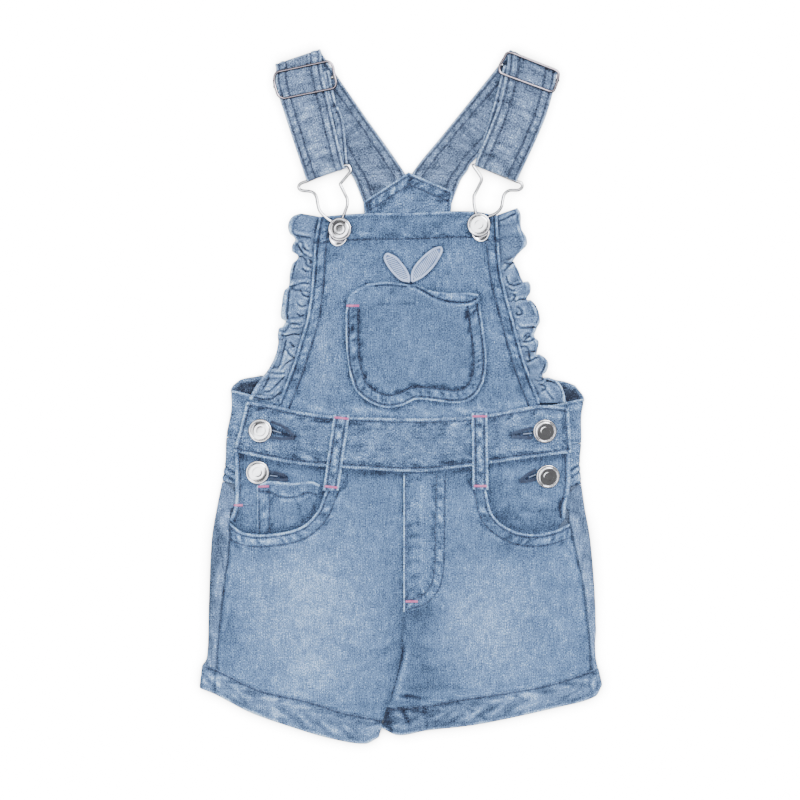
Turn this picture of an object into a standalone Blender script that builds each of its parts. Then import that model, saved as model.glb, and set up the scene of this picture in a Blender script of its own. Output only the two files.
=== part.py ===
"""Toddler's denim bib shorts, laid flat on their back.

The garment lies on the plane z = 0 with its front up. +Y runs from the leg openings to the
shoulder folds and +X to the right as seen from above. The origin is the middle of the
garment's box at the level of the surface. Lengths are written in millimetres and turned into
metres by MM.

Every cloth piece is a grid of points laid over named edges, given its wall by a Solidify
modifier. The edges are short tables whose rows are x, y in millimetres, one row for each place
where the edge turns. Rows for the picture's left are given as they are: the garment isn't laid
quite evenly, so the two sides differ a little.
"""
import math

import bpy
from mathutils import Vector

MM = 0.001

# Walls and clearances
CLOTH = 1.2            # one layer of denim with its seam allowance
BAND = 2.0             # waistband, hems and top band: folded double
POCKET_CLOTH = 1.0     # pocket facing, coin pocket and ruffle
APPLIQUE = 1.0         # leaf motif
GAP = 0.3              # clearance between two pieces that touch
HALF_SEAM = 0.15       # what each of two pieces gives up where they are sewn edge to edge

# Heights of the undersides
BACK_LEVEL = 0.0
UNDERLAP_LEVEL = BACK_LEVEL + CLOTH + 0.5        # back's button stand, over the back layer
FRONT_LEVEL = BACK_LEVEL + CLOTH + 0.6           # fronts where nothing else lies beneath
POCKET_RISE = 1.4                                # fronts over the pocket facing
STAND_RISE = 1.7                                 # more where the button stand lies beneath too
BIB_TOP_RISE = 1.4                               # bib over the yoke patch
POCKET_LIP = 1.6                                 # bib pocket's mouth, where it stands open

# Hardware
WIRE = 1.5
PLATE = 0.8             # keyhole plate of the hook
SLIDER_WIRE = 1.7
SIDE_BUTTON = 16.0
BIB_BUTTON = 15.8

DENIM = (0.29, 0.42, 0.56, 1.0)
DENIM_DARK = (0.20, 0.31, 0.44, 1.0)
DENIM_PALE = (0.37, 0.49, 0.61, 1.0)
LEAF = (0.60, 0.64, 0.72, 1.0)
SILVER = (0.78, 0.78, 0.80, 1.0)

COLLECTION = "denim_bib_shorts"

# Outer folds, from the waist down to the leg opening
OUTER_FOLD = {
    "left": (
        (-115.3, 4.1), (-114.9, -8.7), (-118.3, -27.4), (-119.3, -47.6), (-124.8, -76.2),
        (-128.2, -97.9), (-130.2, -140.8), (-131.4, -171.4), (-134.6, -181.9), (-136.6, -198.1),
    ),
    "right": (
        (125.0, -1.8), (122.9, -13.5), (122.9, -30.5), (121.8, -47.6), (124.8, -73.4),
        (128.9, -97.9), (132.3, -140.8), (132.6, -171.4), (134.4, -184.3), (136.8, -196.0),
    ),
}
SIDE_SEAM = {
    "left": (
        (-115.9, -85.7), (-115.9, -102.7), (-120.2, -134.0), (-123.4, -165.0), (-124.8, -185.6),
    ),
    "right": (
        (114.6, -86.4), (119.0, -107.0), (124.0, -130.3), (127.0, -155.0), (129.8, -186.0),
    ),
}
CENTRE_SEAM = (
    (1.7, -49.0), (1.7, -142.8), (0.6, -173.9), (-2.5, -189.6), (-6.1, -203.1), (-8.8, -210.6),
)
HEM_TOP = {
    "left": (
        (-134.6, -181.9), (-124.1, -185.6), (-95.5, -199.0), (-62.0, -206.7), (-38.2, -214.3),
        (-11.6, -219.5),
    ),
    "right": (
        (134.4, -184.3), (100.6, -195.3), (58.9, -202.6), (38.1, -205.7), (17.3, -209.8),
        (-8.0, -211.6),
    ),
}
HEM_BOTTOM = {
    "left": (
        (-136.6, -198.1), (-125.0, -202.8), (-103.0, -214.3), (-76.4, -223.9), (-47.7, -232.4),
        (-24.0, -236.0), (-14.8, -231.5),
    ),
    "right": (
        (136.8, -196.0), (131.8, -204.1), (105.7, -211.5), (52.7, -222.9), (17.3, -227.1),
        (-1.4, -230.2), (-11.4, -225.5),
    ),
}
POCKET_MOUTH = {
    "left": (
        (-43.0, -49.0), (-51.7, -66.5), (-56.9, -78.6), (-68.3, -89.0), (-90.2, -93.7),
        (-106.4, -92.4), (-116.0, -85.7),
    ),
    "right": (
        (55.0, -48.0), (58.5, -65.0), (63.2, -81.1), (76.6, -91.1), (92.0, -93.6),
        (106.0, -90.6), (114.8, -86.4),
    ),
}
FACING_EDGE = {
    "left": ((-112.6, -39.0), (-112.9, -73.8), (-113.6, -83.0)),
    "right": ((115.4, -40.0), (115.0, -62.0), (112.2, -74.8), (111.6, -83.0)),
}
FACING_INNER = {"left": -46.0, "right": 58.0}
WAIST_TOP = (
    (-104.4, -3.7), (-90.6, -5.4), (-69.6, -10.0), (-46.6, -13.2), (12.5, -15.1), (47.1, -13.7),
    (59.2, -12.4), (87.0, -7.2), (100.0, -6.0), (114.3, -8.0),
)
WAIST_BOTTOM = (
    (-113.6, -38.0), (-88.6, -43.2), (-69.6, -46.4), (-36.2, -49.2), (11.6, -51.6),
    (46.2, -48.0), (61.8, -45.8), (87.0, -42.3), (116.4, -38.6),
)
BACK_WAIST_BOTTOM = {"left": -28.0, "right": -32.0}
BACK_WAIST_MIDDLE = -30.0
BACK_YOKE_BOTTOM = {"left": -58.0, "right": -60.0}
YOKE_SLANT = 8.0       # how far the yoke and waistband drop from the side fold to the front
STAND_END = {"left": -82.0, "right": 84.0}        # inner edge of the back's button stand

BIB_SEAM = {
    "left": (
        (-55.4, 121.6), (-58.4, 104.7), (-60.2, 80.0), (-63.2, 55.2), (-68.3, 37.0),
        (-74.0, 19.0), (-82.6, -3.6),
    ),
    "right": (
        (65.8, 122.4), (67.0, 101.2), (69.6, 80.0), (77.9, 47.4), (85.0, 22.0), (94.6, -3.6),
    ),
}
BIB_TOP = ((-55.4, 121.6), (-28.2, 123.8), (6.3, 124.3), (47.3, 125.4), (65.8, 122.4))
BIB_BAND_DEPTH = 18.5

BACK_PANEL_EDGE = {
    "left": ((-98.0, 8.0), (-78.5, 21.1), (-61.5, 40.0), (-47.9, 68.0), (-37.7, 98.0), (-27.0, 118.0)),
    "right": ((104.0, 6.0), (92.0, 17.0), (74.5, 36.0), (57.5, 67.0), (46.5, 98.0), (36.0, 118.0)),
}
# The inside of the back's top edge, seen in the hollow beside each ruffle
BACK_WAIST_TOP = {
    "left": ((0.0, -8.0), (-60.0, -2.0), (-98.0, 7.4), (-108.0, 9.0), (-115.3, 4.1)),
    "right": ((0.0, -8.0), (60.0, -2.0), (104.0, 5.4), (118.0, 5.0), (125.0, -1.8)),
}

YOKE_PATCH = {
    "top": ((-25.4, 132.0), (5.4, 152.0), (35.6, 139.0)),
    "bottom": ((-23.7, 114.0), (5.4, 114.0), (33.0, 114.0)),
}

# Fruit-shaped bib pocket, with a shallow notch in the middle of its lower edge
POCKET_LEFT = ((-22.2, 76.2), (-34.5, 68.4), (-37.1, 58.0), (-37.4, 46.9), (-36.6, 30.0), (-34.4, 14.0))
POCKET_RIGHT = ((49.0, 67.6), (53.4, 62.0), (56.4, 45.0), (58.0, 32.0), (58.4, 20.6), (56.6, 9.4))
POCKET_TOP = ((-22.2, 76.2), (-8.2, 77.6), (9.9, 76.2), (30.0, 71.0), (49.0, 67.6))
POCKET_FOOT = (
    (-34.4, 14.0), (-30.0, 3.0), (-19.0, -5.4), (-8.2, -8.2), (2.0, -6.4), (10.5, -2.6),
    (24.8, -3.7), (37.1, -5.0), (46.2, -3.3), (52.8, 2.4), (56.6, 9.4),
)

LEAVES = {
    "left": {"base": (4.6, 78.6), "tip": (-11.1, 96.6), "width": 8.6},
    "right": {"base": (8.6, 78.8), "tip": (27.6, 100.4), "width": 9.4},
}

RUFFLE_WAVES = 9
RUFFLE_RISE = 2.6
RUFFLE_EDGE = {
    "left": (
        (-67.0, 123.4), (-75.6, 116.3), (-73.4, 100.6), (-76.0, 82.3), (-79.9, 61.2),
        (-84.0, 42.8), (-87.0, 29.9), (-94.2, 12.2), (-101.5, -2.0),
    ),
    "right": (
        (79.5, 125.6), (84.4, 108.0), (79.6, 88.0), (86.5, 71.4), (93.0, 53.0), (94.4, 34.0),
        (100.0, 21.0), (106.0, 6.0), (110.6, -4.2),
    ),
}

BELT_LOOPS = {
    "left": {"top": (-39.8, -12.6), "bottom": (-47.4, -64.2)},
    "right": {"top": (53.6, -11.4), "bottom": (54.2, -63.6)},
}
BELT_LOOP_WIDTH = 11.0

COIN_POCKET_TOP = ((-97.6, -60.2), (-89.0, -57.6), (-73.0, -58.9), (-60.5, -57.8), (-54.8, -60.0))
COIN_POCKET_BOTTOM = ((-97.4, -94.0), (-76.0, -94.0), (-61.0, -84.0))

SIDE_BUTTONS = {
    "left_upper": (-95.0, -23.5),
    "left_lower": (-96.8, -51.9),
    "right_upper": (97.9, -23.9),
    "right_lower": (100.0, -54.6),
}
BIB_BUTTONS = {"left": (-41.1, 113.0), "right": (53.1, 116.0)}

# Straps: each row crosses the strip, and its columns are the two edges (x, y each) and the
# height of the middle of the cloth. Rows run from the yoke patch up the back, over the
# shoulder fold, down the front, round the hook's bar and back up to the slider's bar.
BACK_RUN = 0.6
INNER_RUN = 2.5
BAR_HEIGHT = 4.1
OUTER_RUN = 5.7
STRAP_BACK = {
    "left": (
        (4.6, 120.0, -21.0, 120.0), (4.4, 147.0, -31.0, 146.0), (-1.8, 158.6, -36.0, 155.0),
        (-23.1, 188.6, -46.3, 174.8),
    ),
    "right": (
        (6.2, 120.0, 31.0, 120.0), (6.4, 147.0, 40.6, 146.0), (11.4, 156.4, 45.4, 153.0),
        (26.9, 175.3, 49.2, 159.5),
    ),
}
STRAP_FOLD = {
    "left": (-54.5, 235.6, -84.2, 225.4),
    "right": (76.6, 234.4, 106.4, 220.0),
}
STRAP_FRONT = {
    "left": (
        (-53.2, 222.0, -83.0, 212.0), (-48.2, 198.0, -77.4, 190.0), (-38.6, 156.2, -63.6, 147.4),
    ),
    "right": (
        (74.6, 221.0, 103.6, 209.0), (67.4, 198.0, 96.6, 186.0), (50.9, 158.4, 79.2, 147.2),
    ),
}
STRAP_INNER = {
    "left": ((-36.6, 157.0, -61.6, 148.2), (-39.4, 180.0, -67.0, 171.6), (-46.6, 209.6, -75.4, 202.4)),
    "right": ((50.0, 158.8, 77.8, 147.8), (57.4, 180.0, 85.4, 169.0), (67.6, 214.6, 97.4, 205.6)),
}

SLIDERS = {
    "left": ((-84.4, 219.4), (-48.6, 226.6), (-45.0, 208.8), (-81.6, 200.8)),
    "right": ((72.6, 232.8), (106.4, 219.6), (102.4, 205.8), (67.6, 219.0)),
}
SLIDER_BARS = {
    "left": ((-86.0, 210.1), (-44.5, 216.8)),
    "right": ((67.6, 225.0), (107.0, 213.6)),
}
# Wire of each hook, from the button up one side, through the strap's loop and down the other
HOOK_WIRES = {
    "left": (
        (-44.6, 117.4), (-47.6, 118.6), (-53.6, 122.8), (-56.4, 128.5), (-57.2, 135.0),
        (-60.6, 138.4), (-67.4, 139.6), (-69.6, 142.8), (-68.0, 145.9), (-65.0, 147.1),
        (-50.0, 152.6), (-37.0, 157.2), (-34.0, 157.2), (-33.2, 154.2), (-36.0, 149.6),
        (-40.0, 143.8), (-36.8, 134.4), (-37.0, 127.0), (-39.2, 118.0),
    ),
    "right": (
        (57.6, 119.4), (60.0, 121.0), (66.0, 124.7), (69.0, 129.5), (70.6, 136.4),
        (74.0, 138.9), (80.4, 139.6), (83.0, 142.8), (82.6, 145.6), (80.4, 147.2),
        (65.0, 153.2), (50.6, 158.9), (47.4, 159.4), (46.6, 156.4), (49.4, 152.0),
        (54.8, 147.0), (50.2, 136.6), (50.2, 130.6), (51.8, 121.6),
    ),
}


# ---------------------------------------------------------------- curves and heights

def smooth_step(value, low, high):
    """Rise smoothly from 0 at low to 1 at high; low may be the larger."""
    t = min(1.0, max(0.0, (value - low) / (high - low)))
    return t * t * (3.0 - 2.0 * t)


def mix(a, b, t):
    """Point or number a share t of the way from a to b."""
    if isinstance(a, (int, float)):
        return a + (b - a) * t
    return tuple(p + (q - p) * t for p, q in zip(a, b))


def distance(a, b):
    """Length from point a to point b."""
    return math.sqrt(sum((q - p) ** 2 for p, q in zip(a, b)))


def curve(table, count):
    """Points spaced evenly by length along a smooth curve through a table's rows."""
    rows = [tuple(row) for row in table]
    dense = []
    for i in range(len(rows) - 1):
        before = rows[max(i - 1, 0)]
        after = rows[min(i + 2, len(rows) - 1)]
        here, there = rows[i], rows[i + 1]
        span = distance(here, there)
        lead = span / max(distance(before, there), 1e-6)
        trail = span / max(distance(here, after), 1e-6)
        for step in range(12):
            t = step / 12.0
            h00 = 2 * t ** 3 - 3 * t ** 2 + 1
            h10 = t ** 3 - 2 * t ** 2 + t
            h01 = 3 * t ** 2 - 2 * t ** 3
            h11 = t ** 3 - t ** 2
            dense.append(tuple(
                h00 * p + h10 * lead * (n - b) + h01 * n + h11 * trail * (a - p)
                for b, p, n, a in zip(before, here, there, after)
            ))
    dense.append(rows[-1])
    return spaced(dense, count)


def spaced(points, count):
    """Count points spaced evenly by length along a run of points."""
    lengths = [0.0]
    for a, b in zip(points, points[1:]):
        lengths.append(lengths[-1] + distance(a, b))
    result = []
    place = 0
    for i in range(count):
        want = lengths[-1] * i / (count - 1)
        while place < len(points) - 2 and lengths[place + 1] < want:
            place += 1
        span = lengths[place + 1] - lengths[place]
        share = (want - lengths[place]) / span if span else 0.0
        result.append(mix(points[place], points[place + 1], min(1.0, share)))
    return result


def at_y(table, y):
    """x of an edge that runs down the garment, at height y."""
    points = curve(table, 40)
    if points[0][1] < points[-1][1]:
        points = points[::-1]
    for a, b in zip(points, points[1:]):
        if b[1] <= y:
            return a[0] + (b[0] - a[0]) * (a[1] - y) / max(a[1] - b[1], 1e-6)
    return points[-1][0]


def at_x(table, x):
    """y of an edge that runs across the garment, at place x."""
    points = sorted(curve(table, 40))
    for a, b in zip(points, points[1:]):
        if b[0] >= x:
            return a[1] + (b[1] - a[1]) * (x - a[0]) / max(b[0] - a[0], 1e-6)
    return points[-1][1]


def front_level(x, y):
    """Underside of the front leg panels: low at the centre and hem, high over the pockets."""
    across = abs(x)
    down = smooth_step(y, -176.0, -104.0)
    swell = 0.5 * math.exp(-((across - 70.0) / 34.0) ** 2 - ((y + 140.0) / 30.0) ** 2)
    pocket = POCKET_RISE * smooth_step(across, 4.0, 44.0)
    stand = STAND_RISE * smooth_step(across, 48.0, 84.0)
    return FRONT_LEVEL + (pocket + stand) * down + swell


def facing_level(x, y):
    """Underside of the pocket facing, a layer below the front panel."""
    return front_level(x, y) - POCKET_CLOTH - GAP


def waist_level(x, y):
    """Underside of the front waistband: it rises over the button stand at each end."""
    across = abs(x)
    return FRONT_LEVEL + 0.7 * smooth_step(across, 4.0, 44.0) + 0.9 * smooth_step(across, 48.0, 84.0)


def bib_level(x, y):
    """Underside of the bib, from the waistband's height up to the yoke patch's."""
    waist = (waist_level(x, y) - FRONT_LEVEL) * (1.0 - smooth_step(y, -8.0, 46.0))
    top = BIB_TOP_RISE * smooth_step(y, 78.0, 106.0)
    return FRONT_LEVEL + waist + top


# ---------------------------------------------------------------- meshes

def material(name, colour, roughness, metallic):
    """A plain Principled material, shared by the pieces of one finish."""
    finish = bpy.data.materials.get(name)
    if finish is None:
        finish = bpy.data.materials.new(name)
        finish.use_nodes = True
        shader = finish.node_tree.nodes["Principled BSDF"]
        shader.inputs["Base Color"].default_value = colour
        shader.inputs["Roughness"].default_value = roughness
        shader.inputs["Metallic"].default_value = metallic
        finish.diffuse_color = colour
    return finish


def denim(name, colour=DENIM):
    """Denim material for one piece."""
    return material(name + "_cloth", colour, 0.85, 0.0)


def add_object(name, data, finish):
    """Link a new object with one material to the garment's collection."""
    obj = bpy.data.objects.new(name, data)
    data.materials.append(finish)
    bpy.data.collections[COLLECTION].objects.link(obj)
    return obj


def sheet_mesh(name, grid, closed=False):
    """Mesh of a grid of points in millimetres; closed joins each row's end to its start."""
    rows, columns = len(grid), len(grid[0])
    points = [(x * MM, y * MM, z * MM) for row in grid for x, y, z in row]
    faces = []
    for i in range(rows - 1):
        for j in range(columns if closed else columns - 1):
            k = (j + 1) % columns
            faces.append((i * columns + j, i * columns + k, (i + 1) * columns + k, (i + 1) * columns + j))
    mesh = bpy.data.meshes.new(name)
    mesh.from_pydata(points, [], faces)
    mesh.update()
    return mesh


def cloth(name, grid, wall, finish, rest="under", closed=False):
    """A cloth piece: the grid is its underside or its middle, and Solidify gives its wall."""
    mesh = sheet_mesh(name, grid, closed)
    flip = rest == "under" and sum(face.normal.z for face in mesh.polygons) < 0.0
    if flip:
        mesh.flip_normals()
    obj = add_object(name, mesh, finish)
    wall_modifier = obj.modifiers.new("wall", "SOLIDIFY")
    wall_modifier.thickness = wall * MM
    wall_modifier.offset = 1.0 if rest == "under" else 0.0
    wall_modifier.use_even_offset = True
    mesh.shade_smooth()
    return obj


def patch(top, bottom, left, right):
    """Grid between four edges: rows run from top to bottom, columns from left to right."""
    rows, columns = len(left), len(top)
    grid = []
    for i in range(rows):
        v = i / (rows - 1)
        line = []
        for j in range(columns):
            u = j / (columns - 1)
            across = mix(left[i], right[i], u)
            down = mix(top[j], bottom[j], v)
            corners = mix(mix(top[0], top[-1], u), mix(bottom[0], bottom[-1], u), v)
            line.append(tuple(a + d - c for a, d, c in zip(across, down, corners)))
        grid.append(line)
    return grid


def raised(grid, level):
    """Put a flat grid at the height that a level function gives."""
    return [[(x, y, level(x, y)) for x, y in row] for row in grid]


def line_points(a, b, count):
    """Count points from a to b."""
    return [mix(a, b, i / (count - 1)) for i in range(count)]


def shift(points, dx, dy):
    """Move points by dx, dy."""
    return [(x + dx, y + dy) for x, y in points]


# ---------------------------------------------------------------- legs and hips

def centre_edge(side, count, clearance):
    """Edge of a leg along the centre seam, down to the inner end of its hem."""
    sign = -1.0 if side == "left" else 1.0
    places = [mix(CENTRE_SEAM[0][1], CENTRE_SEAM[-1][1] + 4.0, i / (count - 2)) for i in range(count - 1)]
    edge = [(at_y(CENTRE_SEAM, y) + sign * clearance, y) for y in places]
    return edge + [(HEM_TOP[side][-1][0], HEM_TOP[side][-1][1] + GAP + 0.2)]


def make_front_leg(side):
    """Front leg panel, from the waistband and the pocket mouth down to the hem."""
    sign = -1.0 if side == "left" else 1.0
    waist_count, mouth_count, down_count = 6, 11, 13
    inner_top = (1.7 + sign * HALF_SEAM, at_x(WAIST_BOTTOM, 1.7) - GAP)
    mouth_start = POCKET_MOUTH[side][0]
    waist = []
    for x in [mix(inner_top[0], mouth_start[0], i / (waist_count - 1)) for i in range(waist_count)]:
        waist.append((x, at_x(WAIST_BOTTOM, x) - GAP))
    mouth = curve((waist[-1],) + POCKET_MOUTH[side][1:], mouth_count)
    top = waist + mouth[1:]
    seam = shift(curve(SIDE_SEAM[side], down_count), -sign * HALF_SEAM, 0.0)
    centre = centre_edge(side, down_count, HALF_SEAM)
    centre[0] = top[0]
    hem = curve(HEM_TOP[side], 60)
    inside = [p for p in hem if abs(p[0]) < abs(seam[-1][0])]
    bottom = shift(spaced(inside[::-1], len(top)), 0.0, GAP + 0.2)
    bottom[0] = centre[-1]
    seam[-1] = bottom[-1]
    grid = raised(patch(top, bottom, centre, seam), front_level)
    cloth("front_leg_" + side, grid, CLOTH, denim("front_leg_" + side, DENIM_PALE))


def wrap_row(side, inner, outer_x, front_x, front_z, counts=(5, 5, 3)):
    """Points across the back layer, round the side fold and on to the front edge.

    The result is a list of (x, z, share), where share runs from 0 at the back's inner edge to
    1 at the outer fold and 2 at the front edge.
    """
    sign = -1.0 if side == "left" else 1.0
    back_z = BACK_LEVEL + CLOTH / 2
    radius = (front_z - back_z) / 2
    bend_x = abs(outer_x) - CLOTH / 2 - radius
    row = []
    for i in range(counts[0]):
        t = i / counts[0]
        row.append((mix(inner, sign * bend_x, t), back_z, t))
    for i in range(counts[1]):
        angle = math.pi * i / (counts[1] - 1)
        x = sign * (bend_x + radius * math.sin(angle))
        row.append((x, back_z + radius * (1.0 - math.cos(angle)), 1.0))
    for i in range(1, counts[2] + 1):
        t = i / counts[2]
        row.append((mix(sign * bend_x, front_x, t), front_z, 1.0 + t))
    return row


def wrap_grid(side, rows, counts=(5, 5, 3)):
    """Grid of a piece that wraps the side fold.

    Each row of the table has the columns: y at the back's inner edge, y at the fold, y at the
    front edge, x of the inner edge, x of the fold, x of the front edge, height of the front.
    """
    grid = []
    for y_inner, y_fold, y_front, inner, outer_x, front_x, front_z in rows:
        line = []
        for x, z, share in wrap_row(side, inner, outer_x, front_x, front_z, counts):
            if share <= 1.0:
                y = mix(y_inner, y_fold, smooth_step(share, 0.0, 1.0))
            else:
                y = mix(y_fold, y_front, share - 1.0)
            line.append((x, y, z))
        grid.append(line)
    return grid


def make_back_leg(side):
    """Back leg panel, round the side fold to the side seam on the front."""
    sign = -1.0 if side == "left" else 1.0
    top = BACK_YOKE_BOTTOM[side] - GAP
    seam_top = SIDE_SEAM[side][0][1]
    stand_z = UNDERLAP_LEVEL + CLOTH / 2
    places = [top] + [seam_top + d for d in (16.0, 10.0, 6.0, 2.0, -2.0, -12.0)]
    places += [mix(seam_top - 24.0, HEM_TOP[side][0][1] - 1.0, i / 5) for i in range(6)]
    rows = []
    for y in places:
        hem_share = smooth_step(y, -120.0, -183.0)
        y_inner = y - hem_share * 27.0
        seam_x = at_y(SIDE_SEAM[side], y) + sign * HALF_SEAM
        front_x = mix(sign * 111.0, seam_x, smooth_step(y, seam_top + 16.0, seam_top + 7.0))
        lift = smooth_step(y, seam_top + 8.0, seam_top - 1.0)
        front_z = mix(stand_z, front_level(seam_x, y) + CLOTH / 2, lift)
        slant = YOKE_SLANT * smooth_step(y, seam_top + 6.0, top)
        inner = at_y(CENTRE_SEAM, y_inner) + sign * 2.0 * GAP
        rows.append((y_inner, y, y - slant - hem_share * 2.0, inner,
                     at_y(OUTER_FOLD[side], y), front_x, front_z))
    grid = wrap_grid(side, rows)
    inner_table = CENTRE_SEAM[:-1] + (HEM_TOP[side][-1],)
    settle = 5
    for i in range(settle):
        t = (i + 1) / settle
        row = grid[len(grid) - settle + i]
        for j, (x, y, z) in enumerate(row):
            hem_y = at_x(HEM_TOP[side], x) + 3.0 * GAP
            row[j] = (x, mix(y, hem_y, t ** 3), z)
        inner_y, inner_z = row[0][1:]
        row[0] = (at_y(inner_table, inner_y) + sign * 2.0 * GAP, inner_y, inner_z)
        front_y, front_z = row[-1][1:]
        row[-1] = (at_y(SIDE_SEAM[side], front_y) + sign * 2.0 * HALF_SEAM, front_y, front_z)
    cloth("back_leg_" + side, grid, CLOTH, denim("back_leg_" + side), rest="middle")


def make_hem(side):
    """Leg hem: a band all round the leg, flattened, with a rounded fold at each end."""
    across, bend, depth = 13, 4, 3
    top = curve(HEM_TOP[side], across)
    bottom = curve(HEM_BOTTOM[side], across)
    back_z = BACK_LEVEL + BAND / 2 + 0.03
    front_z = FRONT_LEVEL + 0.9 + BAND / 2
    radius = (front_z - back_z) / 2
    grid = []
    for i in range(depth + 1):
        edge = [mix(a, b, i / depth) for a, b in zip(top, bottom)]
        inset = radius + BAND / 2
        line = inset_ends(edge, inset)
        ring = [(x, y, front_z) for x, y in line]
        ring += fold_points(line[-1], line[-2], radius, front_z, back_z, bend)
        ring += [(x, y, back_z) for x, y in reversed(line)]
        ring += fold_points(line[0], line[1], radius, back_z, front_z, bend)
        grid.append(ring)
    cloth("hem_" + side, grid, BAND, denim("hem_" + side), rest="middle", closed=True)


def inset_ends(line, amount):
    """Shorten a run of points by an amount at each end."""
    points = list(line)
    for end, inner in ((0, 1), (-1, -2)):
        span = distance(points[end], points[inner])
        points[end] = mix(points[end], points[inner], min(0.8, amount / span))
    return points


def fold_points(end, inner, radius, from_z, to_z, count):
    """Half circle beyond the end of a line, from one height to the other."""
    span = distance(end, inner)
    along = ((end[0] - inner[0]) / span, (end[1] - inner[1]) / span)
    middle = (from_z + to_z) / 2
    points = []
    for i in range(1, count):
        angle = math.pi * i / count
        out = radius * math.sin(angle)
        z = middle + (from_z - middle) * math.cos(angle)
        points.append((end[0] + along[0] * out, end[1] + along[1] * out, z))
    return points


def make_back_yoke(side):
    """Back yoke: across the hip, round the fold and under the front as the button stand."""
    sign = -1.0 if side == "left" else 1.0
    top = BACK_WAIST_BOTTOM[side] - GAP
    bottom = BACK_YOKE_BOTTOM[side]
    rows = []
    for i in range(4):
        y = mix(top, bottom, i / 3)
        middle = mix(BACK_WAIST_MIDDLE - GAP, bottom, i / 3)
        rows.append((middle, y, y - YOKE_SLANT, CENTRE_SEAM[0][0] + sign * HALF_SEAM, at_y(OUTER_FOLD[side], y),
                     STAND_END[side], UNDERLAP_LEVEL + CLOTH / 2))
    cloth("back_yoke_" + side, wrap_grid(side, rows, (5, 5, 5)), CLOTH,
          denim("back_yoke_" + side, DENIM_DARK), rest="middle")


def make_back_waistband():
    """Back waistband, from the left button stand round the back to the right one."""
    grid = []
    depth = 3
    halves = {}
    for side, sign in (("left", -1.0), ("right", 1.0)):
        bottom = BACK_WAIST_BOTTOM[side]
        rows = []
        for i in range(depth + 1):
            t = i / depth
            y = mix(OUTER_FOLD[side][0][1], bottom, t)
            front_y = mix(OUTER_FOLD[side][0][1], bottom, t) - YOKE_SLANT
            rows.append((mix(-8.0, BACK_WAIST_MIDDLE, t), y, front_y, 0.0, at_y(OUTER_FOLD[side], y),
                         STAND_END[side], UNDERLAP_LEVEL + CLOTH / 2))
        halves[side] = wrap_grid(side, rows, (6, 5, 4))
    top_rows = {side: BACK_WAIST_TOP[side] for side in halves}
    for side, half in halves.items():
        for j, (x, y, z) in enumerate(half[0]):
            if z < BACK_LEVEL + CLOTH:
                half[0][j] = (x, at_x(top_rows[side], x), z)
    for left_row, right_row in zip(halves["left"], halves["right"]):
        grid.append(list(reversed(left_row)) + right_row[1:])
    cloth("back_waistband", grid, CLOTH, denim("back_waistband", DENIM_DARK), rest="middle")


def make_facing(side):
    """Pocket facing in the pocket mouth; its outer edge is the side opening."""
    sign = -1.0 if side == "left" else 1.0
    edge = FACING_EDGE[side]
    outer_x, inner_x = edge[0][0], FACING_INNER[side]
    top = []
    for x in [mix(outer_x, inner_x, i / 9) for i in range(10)]:
        top.append((x, at_x(WAIST_BOTTOM, x) - GAP))
    mouth = POCKET_MOUTH[side]
    under = 7.0
    side_edge = curve(edge, 6)
    bottom = curve((
        edge[-1], (sign * 100.0, -98.0), (sign * 84.0, -101.0),
        (mouth[3][0] + sign * -4.0, -94.0), (mouth[1][0] - sign * under, -74.0),
    ), 10)
    outer = [top[0]] + side_edge[1:]
    inner = line_points(top[-1], bottom[-1], 6)
    grid = raised(patch(top, bottom, outer, inner), facing_level)
    cloth("pocket_facing_" + side, grid, POCKET_CLOTH, denim("pocket_facing_" + side, DENIM_DARK))


def make_coin_pocket():
    """Coin pocket on the left facing; its lower edge runs under the pocket mouth."""
    top = curve(COIN_POCKET_TOP, 9)
    bottom = curve(COIN_POCKET_BOTTOM, 9)
    grid = patch(top, bottom, line_points(top[0], bottom[0], 5), line_points(top[-1], bottom[-1], 5))
    mouth = POCKET_MOUTH["left"]
    level = []
    for row in grid:
        line = []
        for x, y in row:
            edge = at_x(mouth, x) + 1.0
            line.append((x, max(y, edge), facing_level(x, max(y, edge)) + POCKET_CLOTH + GAP))
        level.append(line)
    cloth("coin_pocket", level, POCKET_CLOTH, denim("coin_pocket", DENIM))


def make_fly():
    """Mock fly on the right front: straight at the centre seam, J-shaped on its free edge."""
    seam_x = CENTRE_SEAM[0][0] + 0.6
    top_y = at_x(WAIST_BOTTOM, 16.0) - 1.0
    free = curve(((32.0, top_y), (31.3, -85.0), (30.6, -118.0), (27.0, -132.0), (18.0, -142.0),
                  (seam_x + 3.0, -146.5)), 12)
    straight = line_points((seam_x, top_y), (seam_x, -146.8), 12)
    top = line_points(straight[0], free[0], 4)
    bottom = line_points(straight[-1], free[-1], 4)
    grid = patch(top, bottom, straight, free)
    over = CLOTH + GAP
    cloth("fly", raised(grid, lambda x, y: front_level(x, y) + over), POCKET_CLOTH, denim("fly"))


# ---------------------------------------------------------------- waist

def make_front_waistband():
    """Front waistband, open at both ends over the button stands."""
    count = 27
    top = curve(WAIST_TOP, count)
    bottom = curve(WAIST_BOTTOM, count)
    grid = patch(top, bottom, line_points(top[0], bottom[0], 5), line_points(top[-1], bottom[-1], 5))
    cloth("front_waistband", raised(grid, waist_level), BAND, denim("front_waistband", DENIM_DARK))


def make_belt_loop(side):
    """Belt loop: a narrow strip over the waistband, its ends just clear of what they lie on."""
    place = BELT_LOOPS[side]
    half = BELT_LOOP_WIDTH / 2
    rows = []
    for i in range(8):
        t = i / 7
        x, y = mix(place["top"], place["bottom"], t)
        level = max(waist_level(x, y) + BAND, front_level(x, y) + CLOTH) + GAP + 0.1
        level += 0.5 * math.sin(math.pi * t)
        rows.append([(x - half, y, level), (x, y, level + 0.15), (x + half, y, level)])
    cloth("belt_loop_" + side, rows, CLOTH, denim("belt_loop_" + side))


# ---------------------------------------------------------------- bib and back

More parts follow.
